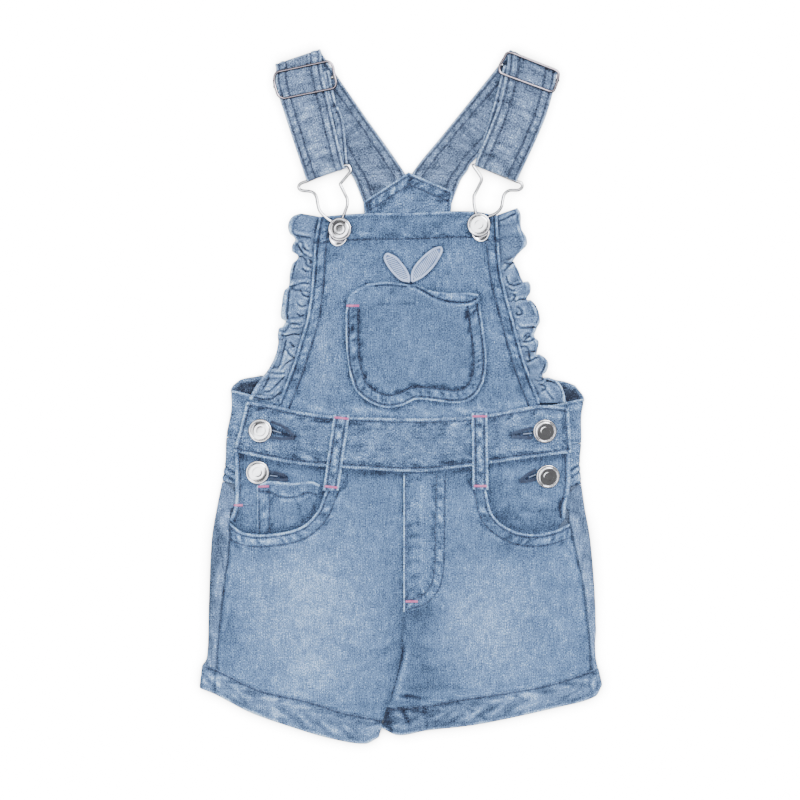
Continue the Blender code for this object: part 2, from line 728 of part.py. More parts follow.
def make_bib():
    """Bib, from the waistband up to its top band, between the two ruffle seams."""
    count, down = 13, 12
    bottom = []
    top = shift(curve(BIB_TOP, count), 0.0, -BIB_BAND_DEPTH - GAP)
    left = shift(curve(BIB_SEAM["left"], 40), HALF_SEAM, 0.0)
    right = shift(curve(BIB_SEAM["right"], 40), -HALF_SEAM, 0.0)
    left = spaced([p for p in left if p[1] < top[0][1]], down)
    right = spaced([p for p in right if p[1] < top[-1][1]], down)
    top[0] = (left[0][0], top[0][1])
    top[-1] = (right[0][0], top[-1][1])
    left[0] = top[0]
    right[0] = top[-1]
    for x in [mix(left[-1][0], right[-1][0], i / (count - 1)) for i in range(count)]:
        bottom.append((x, at_x(WAIST_TOP, x) + GAP))
    left[-1] = bottom[0]
    right[-1] = bottom[-1]
    cloth("bib", raised(patch(top, bottom, left, right), bib_level), CLOTH, denim("bib"))


def make_bib_band():
    """Top band of the bib: the hem turned down across its top."""
    count = 13
    top = curve(BIB_TOP, count)
    bottom = shift(top, 0.0, -BIB_BAND_DEPTH)
    low = -BIB_BAND_DEPTH
    bottom[0] = (at_y(BIB_SEAM["left"], top[0][1] + low) + HALF_SEAM, top[0][1] + low)
    bottom[-1] = (at_y(BIB_SEAM["right"], top[-1][1] + low) - HALF_SEAM, top[-1][1] + low)
    grid = patch(top, bottom, line_points(top[0], bottom[0], 4), line_points(top[-1], bottom[-1], 4))
    cloth("bib_top_band", raised(grid, bib_level), BAND, denim("bib_top_band", DENIM_DARK))


def make_ruffle(side):
    """Gathered ruffle: waves that grow from the bib's seam to the free edge."""
    sign = -1.0 if side == "left" else 1.0
    along, across = 4 * RUFFLE_WAVES + 3, 4
    seam_table = BIB_SEAM[side]
    inner = shift(curve(seam_table, along), sign * (HALF_SEAM + 0.4), 0.0)
    outer = curve(RUFFLE_EDGE[side], along)
    grid = []
    for i, (a, b) in enumerate(zip(inner, outer)):
        phase = 2.0 * math.pi * RUFFLE_WAVES * i / (along - 1)
        reach = 1.0 + 0.10 * math.cos(phase + 0.6)
        row = []
        for j in range(across + 1):
            t = j / across
            x, y = mix(a, b, t * reach)
            y += 1.6 * t * math.sin(2.0 * phase)
            level = max(bib_level(x, y), FRONT_LEVEL + 0.2) + 0.9
            z = level + RUFFLE_RISE * (0.25 + 0.75 * t) * (1.0 + math.sin(phase)) * 0.5
            z += 0.5
            row.append((x, y, z))
        grid.append(row)
    cloth("ruffle_" + side, grid, POCKET_CLOTH, denim("ruffle_" + side), rest="middle")


def make_bib_pocket():
    """Bib pocket in a plain rounded fruit outline, its mouth rolling forward at the right."""
    across, down = 13, 10
    grid = []
    flat = patch(curve(POCKET_TOP, across), curve(POCKET_FOOT, across),
                 curve(POCKET_LEFT, down), curve(POCKET_RIGHT, down))
    for line in flat:
        row = []
        for x, y in line:
            lip = POCKET_LIP * smooth_step(x, 4.0, 24.0) * smooth_step(y, 52.0, 72.0)
            row.append((x, y, bib_level(x, y) + CLOTH + GAP + lip))
        grid.append(row)
    cloth("bib_pocket", grid, CLOTH, denim("bib_pocket"))


def make_leaf(side):
    """Leaf applique above the pocket: a pointed oval with a slightly swollen middle."""
    leaf = LEAVES[side]
    base, tip = leaf["base"], leaf["tip"]
    span = distance(base, tip)
    along = ((tip[0] - base[0]) / span, (tip[1] - base[1]) / span)
    across = (-along[1], along[0])
    rows = []
    count = 9
    for i in range(count):
        t = i / (count - 1)
        half = leaf["width"] / 2 * math.sin(math.pi * min(1.0, 0.05 + 0.93 * t)) ** 0.7
        half = max(half, 0.6)
        row = []
        for share in (-1.0, 0.0, 1.0):
            x = base[0] + along[0] * span * t + across[0] * half * share
            y = base[1] + along[1] * span * t + across[1] * half * share
            row.append((x, y, bib_level(x, y) + CLOTH + GAP))
        rows.append(row)
    cloth("leaf_" + side, rows, APPLIQUE, material("leaf_cloth", LEAF, 0.8, 0.0))


def make_back_panel():
    """Back panel, from the back waistband up to the yoke patch, under the bib."""
    count = 12
    left = curve(BACK_PANEL_EDGE["left"], count)
    right = curve(BACK_PANEL_EDGE["right"], count)
    grid = []
    for i, (a, b) in enumerate(zip(left, right)):
        row = []
        for j in range(9):
            x, y = mix(a, b, j / 8)
            if i == 0:
                table = BACK_WAIST_TOP["left"] if x < 0.0 else BACK_WAIST_TOP["right"]
                y = at_x(table, x) + GAP + 0.2
            elif i < 4:
                y = mix(at_x(BACK_WAIST_TOP["left"], -abs(x)) + 1.0, y, i / 4)
            row.append((x, y, BACK_LEVEL))
        grid.append(row)
    cloth("back_panel", grid, CLOTH, denim("back_panel", DENIM_DARK))


def make_yoke_patch():
    """Patch that covers the straps' ends on the back's inside, pointed at the top."""
    top = line_points(YOKE_PATCH["top"][0], YOKE_PATCH["top"][1], 4)
    top += line_points(YOKE_PATCH["top"][1], YOKE_PATCH["top"][2], 4)[1:]
    bottom = line_points(YOKE_PATCH["bottom"][0], YOKE_PATCH["bottom"][2], 7)
    grid = patch(top, bottom, line_points(top[0], bottom[0], 5), line_points(top[-1], bottom[-1], 5))
    cloth("yoke_patch", raised(grid, lambda x, y: CLOTH + GAP), CLOTH, denim("yoke_patch", DENIM_DARK))


# ---------------------------------------------------------------- straps and hardware

def strap_rows(side):
    """Rows of one strap: edge a, edge b and the height of the middle of the cloth."""
    back = [row + (BACK_RUN,) for row in STRAP_BACK[side]]
    fold = STRAP_FOLD[side]
    ax, ay, bx, by = fold
    span = distance((ax, ay), (bx, by))
    up = (-(by - ay) / span, (bx - ax) / span)
    if up[1] < 0.0:
        up = (-up[0], -up[1])
    middle = (BACK_RUN + OUTER_RUN) / 2
    radius = (OUTER_RUN - BACK_RUN) / 2
    bend = []
    for i in range(7):
        angle = math.pi * i / 6
        out = radius * math.sin(angle) - radius - CLOTH / 2
        bend.append((ax + up[0] * out, ay + up[1] * out, bx + up[0] * out, by + up[1] * out,
                     middle - radius * math.cos(angle)))
    front = [row + (OUTER_RUN,) for row in STRAP_FRONT[side]]
    last, first = STRAP_FRONT[side][-1], STRAP_INNER[side][0]
    lower = []
    middle = (OUTER_RUN + INNER_RUN) / 2
    radius = (OUTER_RUN - INNER_RUN) / 2
    for i in range(1, 6):
        angle = math.pi * i / 6
        t = i / 6
        row = mix(last, first, t)
        out = radius * math.sin(angle)
        lower.append((row[0], row[1] - out, row[2], row[3] - out, middle + radius * math.cos(angle)))
    inner = [row + (INNER_RUN,) for row in STRAP_INNER[side]]
    back_run = refine(back + [bend[0]], 8)
    front_run = refine([bend[-1]] + front, 8)
    inner_run = refine(inner, 6)
    return back_run[:-1] + bend + front_run[1:] + lower + inner_run


def refine(rows, count):
    """Resample the rows of a strip along its length."""
    return curve(rows, count)


def make_strap(side):
    """Shoulder strap as one folded strip, four columns across."""
    grid = []
    for ax, ay, bx, by, z in strap_rows(side):
        grid.append([(mix(ax, bx, j / 3), mix(ay, by, j / 3), z) for j in range(4)])
    cloth("strap_" + side, grid, CLOTH, denim("strap_" + side, DENIM_PALE), rest="middle")


def wire(name, points, diameter, cyclic=False):
    """A bent wire: a poly curve with a round bevel and filled caps."""
    data = bpy.data.curves.new(name, "CURVE")
    data.dimensions = "3D"
    data.bevel_depth = diameter / 2 * MM
    data.bevel_resolution = 2
    data.use_fill_caps = True
    spline = data.splines.new("POLY")
    spline.points.add(len(points) - 1)
    for point, (x, y, z) in zip(spline.points, points):
        point.co = (x * MM, y * MM, z * MM, 1.0)
    spline.use_cyclic_u = cyclic
    return add_object(name, data, material("silver_metal", SILVER, 0.18, 1.0))


def make_slider(side):
    """Slider frame of bent wire, over the strap."""
    corners = SLIDERS[side]
    height = OUTER_RUN + CLOTH / 2 + GAP + SLIDER_WIRE / 2 + 0.1
    points = []
    for i, corner in enumerate(corners):
        before = corners[i - 1]
        after = corners[(i + 1) % 4]
        start = mix(corner, before, 2.2 / distance(corner, before))
        end = mix(corner, after, 2.2 / distance(corner, after))
        for t in (0.0, 0.35, 0.65, 1.0):
            points.append(mix(mix(start, corner, t), mix(corner, end, t), t) + (height,))
    wire("slider_frame_" + side, points, SLIDER_WIRE, cyclic=True)


def make_slider_bar(side):
    """Centre bar of the slider, under the front run, with a ball at each end."""
    start, end = SLIDER_BARS[side]
    centre_z = (INNER_RUN + OUTER_RUN) / 2
    span = distance(start, end)
    along = Vector((end[0] - start[0], end[1] - start[1], 0.0)).normalized()
    profile = ((0.01, 0.0), (1.0, 0.5), (1.35, 1.4), (0.95, 2.4), (0.6, 2.8))
    rings = [(r, d) for r, d in profile] + [(r, span - d) for r, d in reversed(profile)]
    turned("slider_bar_" + side, rings, Vector((start[0], start[1], centre_z)), along, 8)


def turned(name, rings, place, axis, sides, finish=None):
    """A turned piece: a profile of radius and distance, turned by a Screw modifier."""
    mesh = bpy.data.meshes.new(name)
    points = [(r * MM, 0.0, d * MM) for r, d in reversed(rings)]
    mesh.from_pydata(points, [(i, i + 1) for i in range(len(points) - 1)], [])
    obj = add_object(name, mesh, finish or material("silver_metal", SILVER, 0.18, 1.0))
    screw = obj.modifiers.new("turn", "SCREW")
    screw.steps = sides
    screw.render_steps = sides
    screw.use_merge_vertices = True
    screw.merge_threshold = 0.00001
    screw.use_normal_calculate = True
    obj.rotation_mode = "QUATERNION"
    obj.rotation_quaternion = axis.to_track_quat("Z", "Y")
    obj.location = place * MM
    return obj


def make_hook(side):
    """Wire bib hook: its top bar lies in the strap's loop, its ends run under the button."""
    low = bib_level(*BIB_BUTTONS[side]) + BAND + GAP + WIRE / 2 + 0.1
    route = curve(HOOK_WIRES[side], 44)
    points = []
    for x, y in route:
        rise = smooth_step(y, 126.0, 142.0)
        points.append((x, y, mix(low, BAR_HEIGHT, rise)))
    wire("hook_wire_" + side, points, WIRE)


def make_hook_plate(side):
    """Keyhole plate that hangs from the hook's wire under the button."""
    x, y = BIB_BUTTONS[side]
    low = bib_level(x, y) + BAND + GAP
    tilt = -0.24 if side == "left" else 0.24
    outline = bpy.data.curves.new("hook_plate_" + side, "CURVE")
    outline.dimensions = "2D"
    outline.fill_mode = "BOTH"
    outline.extrude = PLATE / 2 * MM
    spline = outline.splines.new("POLY")
    shape = (
        (-7.6, -2.6), (-6.0, -4.0), (-5.4, -7.8), (-3.0, -10.6), (0.0, -11.6), (3.0, -10.6),
        (5.4, -7.8), (6.0, -4.0), (7.6, -2.6), (7.0, 0.4), (-7.0, 0.4),
    )
    spline.points.add(len(shape) - 1)
    for point, (u, v) in zip(spline.points, shape):
        px = x + u * math.cos(tilt) - v * math.sin(tilt)
        py = y + u * math.sin(tilt) + v * math.cos(tilt)
        point.co = (px * MM, py * MM, 0.0, 1.0)
    spline.use_cyclic_u = True
    obj = add_object("hook_plate_" + side, outline, material("silver_metal", SILVER, 0.18, 1.0))
    obj.location.z = (low + PLATE / 2) * MM


def make_button(name, place, diameter, level):
    """Domed jeans button with a rolled rim and a short shank."""
    radius = diameter / 2
    rings = (
        (0.01, 2.6), (radius * 0.55, 2.5), (radius * 0.72, 2.1), (radius * 0.86, 2.6),
        (radius * 0.97, 2.4), (radius, 1.7), (radius * 0.93, 1.0), (radius * 0.5, 0.9),
        (radius * 0.45, 0.0), (0.01, 0.0),
    )
    turned(name, tuple(reversed(rings)), Vector((place[0], place[1], level)), Vector((0, 0, 1)), 16)


def make_buttons():
    """Four side buttons on the waist and two on the bib."""
    for name, (x, y) in SIDE_BUTTONS.items():
        if name.endswith("upper"):
            level = waist_level(x, y) + BAND + GAP
        else:
            level = facing_level(x, y) + POCKET_CLOTH + GAP
        make_button("side_button_" + name, (x, y), SIDE_BUTTON, level + 0.05)
    for side, (x, y) in BIB_BUTTONS.items():
        level = bib_level(x, y) + BAND + GAP + PLATE + GAP
        make_button("bib_button_" + side, (x, y), BIB_BUTTON, level)


def build():
    """Make the whole garment."""
    for obj in list(bpy.data.objects):
        bpy.data.objects.remove(obj, do_unlink=True)
    garment = bpy.data.collections.new(COLLECTION)
    bpy.context.scene.collection.children.link(garment)
    for side in ("left", "right"):
        make_front_leg(side)
        make_back_leg(side)
        make_hem(side)
        make_back_yoke(side)
        make_facing(side)
        make_belt_loop(side)
        make_ruffle(side)
        make_leaf(side)
        make_strap(side)
        make_slider(side)
        make_slider_bar(side)
        make_hook(side)
        make_hook_plate(side)
    make_coin_pocket()
    make_fly()
    make_back_waistband()
    make_front_waistband()
    make_bib()
    make_bib_band()
    make_bib_pocket()
    make_back_panel()
    make_yoke_patch()
    make_buttons()


build()
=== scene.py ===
"""Toddler's denim bib shorts, laid flat: the dressed scene.

The garment lies front up on a pale floor. X runs to the right as seen from above, Y from the leg
openings to the shoulder folds, and Z up. Lengths are written in millimetres and turned into
metres by MM where a mesh is made. Each cut piece of cloth is a grid of points in the place of
its solid, with its own cloth chart in millimetres, along which stitches, ridges, worn edges,
fades, and painted shade and highlights along sunk seams, creases and under raised edges are
placed.
"""
from __future__ import annotations

import logging
import math
from dataclasses import dataclass, field
from enum import Enum
from typing import Callable, Iterable, Sequence

import bpy
import numpy as np
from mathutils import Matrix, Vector
from mathutils.bvhtree import BVHTree


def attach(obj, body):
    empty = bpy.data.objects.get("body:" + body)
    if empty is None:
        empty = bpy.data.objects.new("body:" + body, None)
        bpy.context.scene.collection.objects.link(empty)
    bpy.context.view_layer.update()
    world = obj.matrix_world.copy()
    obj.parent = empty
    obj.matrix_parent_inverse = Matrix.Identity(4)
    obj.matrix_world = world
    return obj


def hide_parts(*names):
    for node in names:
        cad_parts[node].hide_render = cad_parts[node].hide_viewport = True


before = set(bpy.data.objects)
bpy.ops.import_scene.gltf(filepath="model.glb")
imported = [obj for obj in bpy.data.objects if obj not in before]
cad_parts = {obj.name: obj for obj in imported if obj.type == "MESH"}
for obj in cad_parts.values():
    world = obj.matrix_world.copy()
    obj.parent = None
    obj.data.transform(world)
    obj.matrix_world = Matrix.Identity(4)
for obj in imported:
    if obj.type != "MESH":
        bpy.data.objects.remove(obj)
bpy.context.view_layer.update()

LOG = logging.getLogger("bib_shorts")
MM = 0.001
Rows = Sequence[Sequence[float]]

# Walls and heights of the solids
CLOTH = 1.2
BAND = 2.0
LIGHT_CLOTH = 1.0
GAP = 0.3
TUCK = 0.3                # how far a sewn edge runs on into its neighbour
BACK_LEVEL = 0.0
STAND_LEVEL = BACK_LEVEL + CLOTH + 0.5
FRONT_LEVEL = BACK_LEVEL + CLOTH + 0.6


# The working drawing: its middle, and the millimetres of one of its squares
DRAWING_X, DRAWING_Y, SQUARE = 400.5, 396.0, 0.68


def plan(*flat: float) -> Rows:
    """Points in millimetres from the x and y of points of the working drawing, Y downwards."""
    return tuple((round((x - DRAWING_X) * SQUARE, 1), round((DRAWING_Y - y) * SQUARE, 1))
                 for x, y in zip(flat[::2], flat[1::2]))


class Side(Enum):
    """The garment's two sides, as the picture shows them."""

    LEFT = "left"
    RIGHT = "right"

    @property
    def sign(self) -> float:
        """-1 on the left and 1 on the right."""
        return -1.0 if self is Side.LEFT else 1.0


class Face(Enum):
    """The two faces of a cloth."""

    OUT = 1
    IN = -1


# ---------------------------------------------------------------- edges of the cut pieces

OUTER_FOLD = {
    Side.LEFT: (
        (-115.3, 4.1), (-114.9, -8.7), (-118.3, -27.4), (-119.3, -47.6), (-124.8, -76.2),
        (-128.2, -97.9), (-130.2, -140.8), (-131.4, -171.4), (-134.6, -181.9), (-136.6, -198.1),
    ),
    Side.RIGHT: (
        (125, -1.8), (122.9, -13.5), (122.9, -30.5), (121.8, -47.6), (124.8, -73.4),
        (128.9, -97.9), (132.3, -140.8), (132.6, -171.4), (134.4, -184.3), (136.8, -196),
    ),
}
SIDE_SEAM = {
    Side.LEFT: (
        (-115.9, -85.7), (-115.9, -102.7), (-120.2, -134), (-123.4, -165), (-124.8, -185.6),
    ),
    Side.RIGHT: (
        (114.6, -86.4), (119, -107), (124, -130.3), (127, -155), (129.8, -186),
    ),
}
CENTRE_SEAM = (
    (1.7, -49), (1.7, -142.8), (0.6, -173.9), (-2.5, -189.6), (-6.1, -203.1), (-8.8, -210.6),
)
HEM_TOP = {
    Side.LEFT: (
        (-134.6, -181.9), (-124.1, -185.6), (-95.5, -199), (-62, -206.7), (-38.2, -214.3),
        (-11.6, -219.5),
    ),
    Side.RIGHT: (
        (134.4, -184.3), (100.6, -195.3), (58.9, -202.6), (38.1, -205.7), (17.3, -209.8),
        (-9.7, -211.6),
    ),
}
HEM_BOTTOM = {
    Side.LEFT: (
        (-136.6, -198.1), (-125, -202.8), (-103, -214.3), (-76.4, -223.9), (-47.7, -232.4),
        (-24, -236), (-14.8, -231.5),
    ),
    Side.RIGHT: (
        (136.8, -196), (131.8, -204.1), (105.7, -211.5), (52.7, -222.9), (17.3, -227.1),
        (-1.4, -230.2), (-12.9, -225.2),
    ),
}
POCKET_MOUTH = {
    Side.LEFT: (
        (-43, -49), (-51.7, -66.5), (-56.9, -78.6), (-68.3, -89), (-90.2, -93.7), (-106.4, -92.4),
        (-116, -85.7),
    ),
    Side.RIGHT: (
        (55, -48), (58.5, -65), (63.2, -81.1), (76.6, -91.1), (92, -93.6), (106, -90.6),
        (114.8, -86.4),
    ),
}
FACING_EDGE = {
    Side.LEFT: ((-112.6, -39), (-112.2, -73), (-113.4, -77), (-116.2, -84.5)),
    Side.RIGHT: ((115.4, -40), (115, -62), (112.2, -74.8), (111.6, -83)),
}
FACING_INNER = {Side.LEFT: -46, Side.RIGHT: 58}
WAIST_TOP = (
    (-104.4, -3.7), (-90.6, -5.4), (-69.6, -10), (-46.6, -13.2), (12.5, -15.1), (47.1, -13.7),
    (59.2, -12.4), (87, -7.2), (100, -6), (114.3, -8),
)
WAIST_BOTTOM = (
    (-113.6, -38), (-88.6, -43.2), (-69.6, -46.4), (-36.2, -49.2), (11.6, -51.6), (46.2, -48),
    (61.8, -45.8), (87, -42.3), (116.4, -38.6),
)
BACK_WAIST_BOTTOM = {Side.LEFT: -28, Side.RIGHT: -32}
BACK_WAIST_MIDDLE = -30
BACK_YOKE_BOTTOM = {Side.LEFT: -58, Side.RIGHT: -60}
YOKE_SLANT = 8
STAND_END = {Side.LEFT: -82, Side.RIGHT: 84}
BIB_SEAM = {
    Side.LEFT: (
        (-55.4, 121.6), (-58.4, 104.7), (-60.2, 80), (-63.2, 55.2), (-68.3, 37), (-74, 19),
        (-82.6, -3.6),
    ),
    Side.RIGHT: (
        (65.8, 122.4), (67, 101.2), (69.6, 80), (77.9, 47.4), (85, 22), (94.6, -3.6),
    ),
}
BIB_TOP = ((-55.4, 121.6), (-28.2, 123.8), (6.3, 124.3), (47.3, 125.4), (65.8, 122.4))
BIB_BAND_DEPTH = 18.5
BACK_PANEL_EDGE = {
    Side.LEFT: (
        (-98, 8), (-78.5, 21.1), (-61.5, 40), (-47.9, 68), (-37.7, 98), (-27, 118),
    ),
    Side.RIGHT: (
        (104, 6), (92, 17), (74.5, 36), (57.5, 67), (46.5, 98), (36, 118),
    ),
}
BACK_WAIST_TOP = {
    Side.LEFT: ((0, -8), (-60, -2), (-93.5, 13.4), (-100.3, 12.9), (-107.1, 11.6), (-112.5, 9),
        (-115.3, 4.1)),
    Side.RIGHT: ((0, -8), (60, -2), (101.7, 10.9), (108.5, 10.4), (113.9, 9.1), (120.7, 5.6),
        (125, -1.8)),
}
YOKE_TOP = (((-25.4, 132), (5.4, 152)), ((5.4, 152), (35.6, 139)))
YOKE_BOTTOM = ((-23.7, 114), (33, 114))
POCKET_LEFT = (
    (-22.2, 76.2), (-34.5, 68.4), (-37.1, 58), (-37.4, 46.9), (-36.6, 30), (-34.4, 14),
)
POCKET_RIGHT = (
    (52.8, 69.2), (54, 62), (56.4, 45), (58, 32), (58.4, 20.6), (56.6, 9.4),
)
POCKET_TOP = (
    (-22.2, 76.2), (-8.2, 77.4), (4, 75.8), (12, 74.6), (22, 71.2), (34, 69.9), (46, 70.1),
    (52.8, 69.2),
)
POCKET_FOOT = (
    (-34.4, 14), (-30, 3), (-19, -5.4), (-8.2, -8.2), (2, -6.4), (10.5, -2.6), (24.8, -3.7),
    (37.1, -5), (46.2, -3.3), (52.8, 2.4), (56.6, 9.4),
)
COIN_TOP = ((-97.6, -60.2), (-89, -57.6), (-73, -58.9), (-60.5, -57.8), (-54.8, -60))
COIN_BOTTOM = ((-97.4, -94), (-76, -94), (-61, -84))
BELT_LOOPS = {
    Side.LEFT: ((-39.8, -12.6), (-47.4, -64.2)),
    Side.RIGHT: ((53.6, -11.4), (54.2, -63.6)),
}
SIDE_BUTTONS = {
    "left_upper": (-95, -23.5), "left_lower": (-96.8, -51.9),
    "right_upper": (97.9, -23.9), "right_lower": (100, -54.6),
}
BIB_BUTTONS = {Side.LEFT: (-41.1, 113), Side.RIGHT: (53.1, 116)}

# Straps: two edges (x, y each) and the height of the middle of the cloth
BACK_RUN = 0.6
INNER_RUN = 2.5
BAR_HEIGHT = 4.1
OUTER_RUN = 5.7
STRAP_BACK = {
    Side.LEFT: (
        (4.6, 120, -21, 120), (4.4, 147, -31, 146), (-1.8, 158.6, -36, 155),
        (-23.1, 188.6, -46.3, 174.8),
    ),
    Side.RIGHT: (
        (6.2, 120, 31, 120), (6.4, 147, 40.6, 146), (11.4, 156.4, 45.4, 153),
        (26.9, 175.3, 49.2, 159.5),
    ),
}
STRAP_FOLD = {Side.LEFT: (-54.5, 235.6, -85.3, 225.2), Side.RIGHT: (74.2, 235.2, 107, 220)}
STRAP_FRONT = {
    Side.LEFT: (
        (-53.2, 222, -84.6, 211.6), (-48.2, 198, -78.2, 189.8), (-38.6, 156.2, -64.2, 147.2),
    ),
    Side.RIGHT: (
        (72, 222, 104.2, 208.8), (66.8, 198.2, 97.2, 185.8), (50.9, 158.4, 79.6, 147),
    ),
}
STRAP_INNER = {
    Side.LEFT: (
        (-35.8, 157.1, -61.6, 148.2), (-39.1, 188.4, -66, 180.6), (-43.9, 199.9, -71, 192.1),
        (-48.4, 221, -75.8, 213.2),
    ),
    Side.RIGHT: (
        (50.6, 158.4, 77.8, 147.8), (62.2, 194.5, 89, 184.9), (67.7, 215.6, 95, 206),
        (70, 224.6, 97, 215.4),
    ),
}
# Slider frames: upper bar, end towards the bib's middle, lower bar and outer end, all in turn
SLIDERS = {
    Side.LEFT: (
        plan(281, 72.8, 328, 62.6), plan(328, 62.6, 332.3, 66, 334.3, 75, 336.3, 83, 335.6, 87.4,
            332.5, 90),
        plan(332.5, 90, 284.5, 99.7), plan(284.5, 99.7, 279.2, 97, 276.7, 91, 274.8, 83.5, 275.4,
            77, 277.6, 73.8, 281, 72.8),
    ),
    Side.RIGHT: (
        plan(512, 54.5, 554, 71.2), plan(554, 71.2, 557.6, 73.8, 557.2, 80, 554, 90, 552, 92.6,
            548.5, 92.4),
        plan(548.5, 92.4, 505, 76.5), plan(505, 76.5, 499.6, 73.4, 499.4, 67, 503.4, 60, 506.8,
            54.6, 512, 54.5),
    ),
}
SLIDER_BARS = {
    Side.LEFT: plan(273.4, 87.4, 334.8, 77.6), Side.RIGHT: plan(499.4, 65.2, 559, 81.6),
}
# Hook wires in runs that meet in sharp elbows: outer arm and ear, bar under the strap, inner arm
HOOK_WIRES = {
    Side.LEFT: (
        plan(336, 224, 330.7, 221.4, 325, 217.1, 320, 211.4, 318.1, 205.7, 316.7, 197.9, 314.3,
            193.8, 310.2, 191.9, 301.8, 190.9, 298.9, 187.9, 300.7, 184.3, 306.4, 182),
        plan(306.4, 182, 327, 173, 346, 165.5, 349, 166.2), plan(349, 166.2, 351.4, 171.4),
        plan(351.4, 171.4, 340.2, 184.5), plan(340.2, 184.5, 347.3, 199.3),
        plan(347.3, 199.3, 347.6, 205, 345, 212.9, 342.5, 219, 340, 224),
    ),
    Side.RIGHT: (
        plan(484, 222, 489, 217, 495.6, 214, 500.6, 208.4, 502.2, 201, 504, 195, 508.6, 191.2,
            518.4, 190.4, 521.8, 187.4, 521, 183.6, 516.5, 182),
        plan(516.5, 182, 497, 174, 478, 166, 472.5, 165.4),
        plan(472.5, 165.4, 481.2, 178.4, 481.2, 181.6), plan(481.2, 181.6, 473.6, 196.6),
        plan(473.6, 196.6, 473.8, 205, 475.6, 214, 477, 220),
    ),
}


# ---------------------------------------------------------------- curves, noise and heights

def rise(value: np.ndarray | float, low: float, high: float) -> np.ndarray:
    """Rise smoothly from 0 at low to 1 at high; low may be the larger."""
    share = np.clip((np.asarray(value, float) - low) / (high - low), 0.0, 1.0)
    return share * share * (3.0 - 2.0 * share)


def mottle(u: np.ndarray, v: np.ndarray, seed: float) -> np.ndarray:
    """Smooth noise with cells of size 1.

    Args:
        u: first coordinate of each point.
        v: second coordinate of each point.
        seed: picks one noise from many.

    Returns:
        A value from -1 to 1 for each point.
    """
    iu, iv = np.floor(u), np.floor(v)
    fu, fv = u - iu, v - iv
    fu, fv = fu * fu * (3.0 - 2.0 * fu), fv * fv * (3.0 - 2.0 * fv)

    def corner(a: np.ndarray, b: np.ndarray) -> np.ndarray:
        """Fixed value of one corner of the cells."""
        turn = np.sin(a * 127.1 + b * 311.7 + seed * 74.7) * 43758.5453
        return (turn - np.floor(turn)) * 2.0 - 1.0

    low = corner(iu, iv) * (1.0 - fu) + corner(iu + 1.0, iv) * fu
    high = corner(iu, iv + 1.0) * (1.0 - fu) + corner(iu + 1.0, iv + 1.0) * fu
    return low * (1.0 - fv) + high * fv


class Path:
    """A smooth curve in millimetres through the rows of one or more tables, end to end."""

    def __init__(self, *parts: Rows, smooth: bool = True) -> None:
        """Lay the curve.

        Args:
            parts: tables of points; a corner is kept where one part ends and the next starts.
            smooth: False keeps the straight runs between the rows.
        """
        runs = []
        for part in parts:
            rows = np.asarray(part, float)
            run = self._smooth(rows) if smooth and len(rows) > 2 else rows
            runs.append(run[1:] if runs else run)
        self.points = np.vstack(runs)
        steps = np.linalg.norm(np.diff(self.points, axis=0), axis=1)
        self.places = np.concatenate(([0.0], np.cumsum(steps)))
        self.length = float(self.places[-1])

    @staticmethod
    def _smooth(rows: np.ndarray) -> np.ndarray:
        """Twelve points for each step of a table, on a curve through its rows."""
        result = []
        share = (np.arange(12) / 12.0)[:, None]
        square, cube = share ** 2, share ** 3
        for i in range(len(rows) - 1):
            before, after = rows[max(i - 1, 0)], rows[min(i + 2, len(rows) - 1)]
            here, there = rows[i], rows[i + 1]
            span = np.linalg.norm(there - here)
            lead = span / max(np.linalg.norm(there - before), 1e-6)
            trail = span / max(np.linalg.norm(after - here), 1e-6)
            result.append(
                (2 * cube - 3 * square + 1) * here
                + (cube - 2 * square + share) * lead * (there - before)
                + (3 * square - 2 * cube) * there + (cube - square) * trail * (after - here))
        return np.vstack(result + [rows[-1:]])

    def at(self, shares: Sequence[float] | np.ndarray) -> np.ndarray:
        """Points at shares of the length."""
        want = np.asarray(shares, float) * self.length
        return np.stack([np.interp(want, self.places, column) for column in self.points.T], axis=-1)

    def moved(self, away: float) -> "Path":
        """The curve moved to its left by a distance."""
        along = np.gradient(self.points[:, :2], axis=0)
        along /= np.maximum(np.linalg.norm(along, axis=1, keepdims=True), 1e-9)
        return Path(self.points[:, :2] + np.stack((-along[:, 1], along[:, 0]), axis=1) * away,
            smooth=False)

    def cross(self, value: np.ndarray | float, given: int) -> np.ndarray:
        """The other coordinate where the curve crosses a line.

        Args:
            value: the known coordinate.
            given: 0 if x is known, 1 if y is.

        Returns:
            The coordinate that isn't given.
        """
        order = np.argsort(self.points[:, given], kind="stable")
        return np.interp(value, self.points[order, given], self.points[order, 1 - given])

    def measure(self, u: np.ndarray, v: np.ndarray) -> tuple[np.ndarray, np.ndarray, np.ndarray]:
        """Measure points against the curve.

        Args:
            u: x of each point.
            v: y of each point.

        Returns:
            Distance to the curve, place along it, and side of it (1 on the left).
        """
        best = np.full(u.shape, 1e9)
        place, hand = np.zeros(u.shape), np.ones(u.shape)
        for i in range(len(self.points) - 1):
            (ax, ay), (bx, by) = self.points[i, :2], self.points[i + 1, :2]
            dx, dy = bx - ax, by - ay
            span = max(dx * dx + dy * dy, 1e-9)
            t = np.clip(((u - ax) * dx + (v - ay) * dy) / span, 0.0, 1.0)
            away = np.hypot(u - ax - t * dx, v - ay - t * dy)
            near = away < best
            best = np.where(near, away, best)
            place = np.where(near, self.places[i] + t * math.sqrt(span), place)
            hand = np.where(near, np.sign(dx * (v - ay) - dy * (u - ax)), hand)
        return best, place, hand


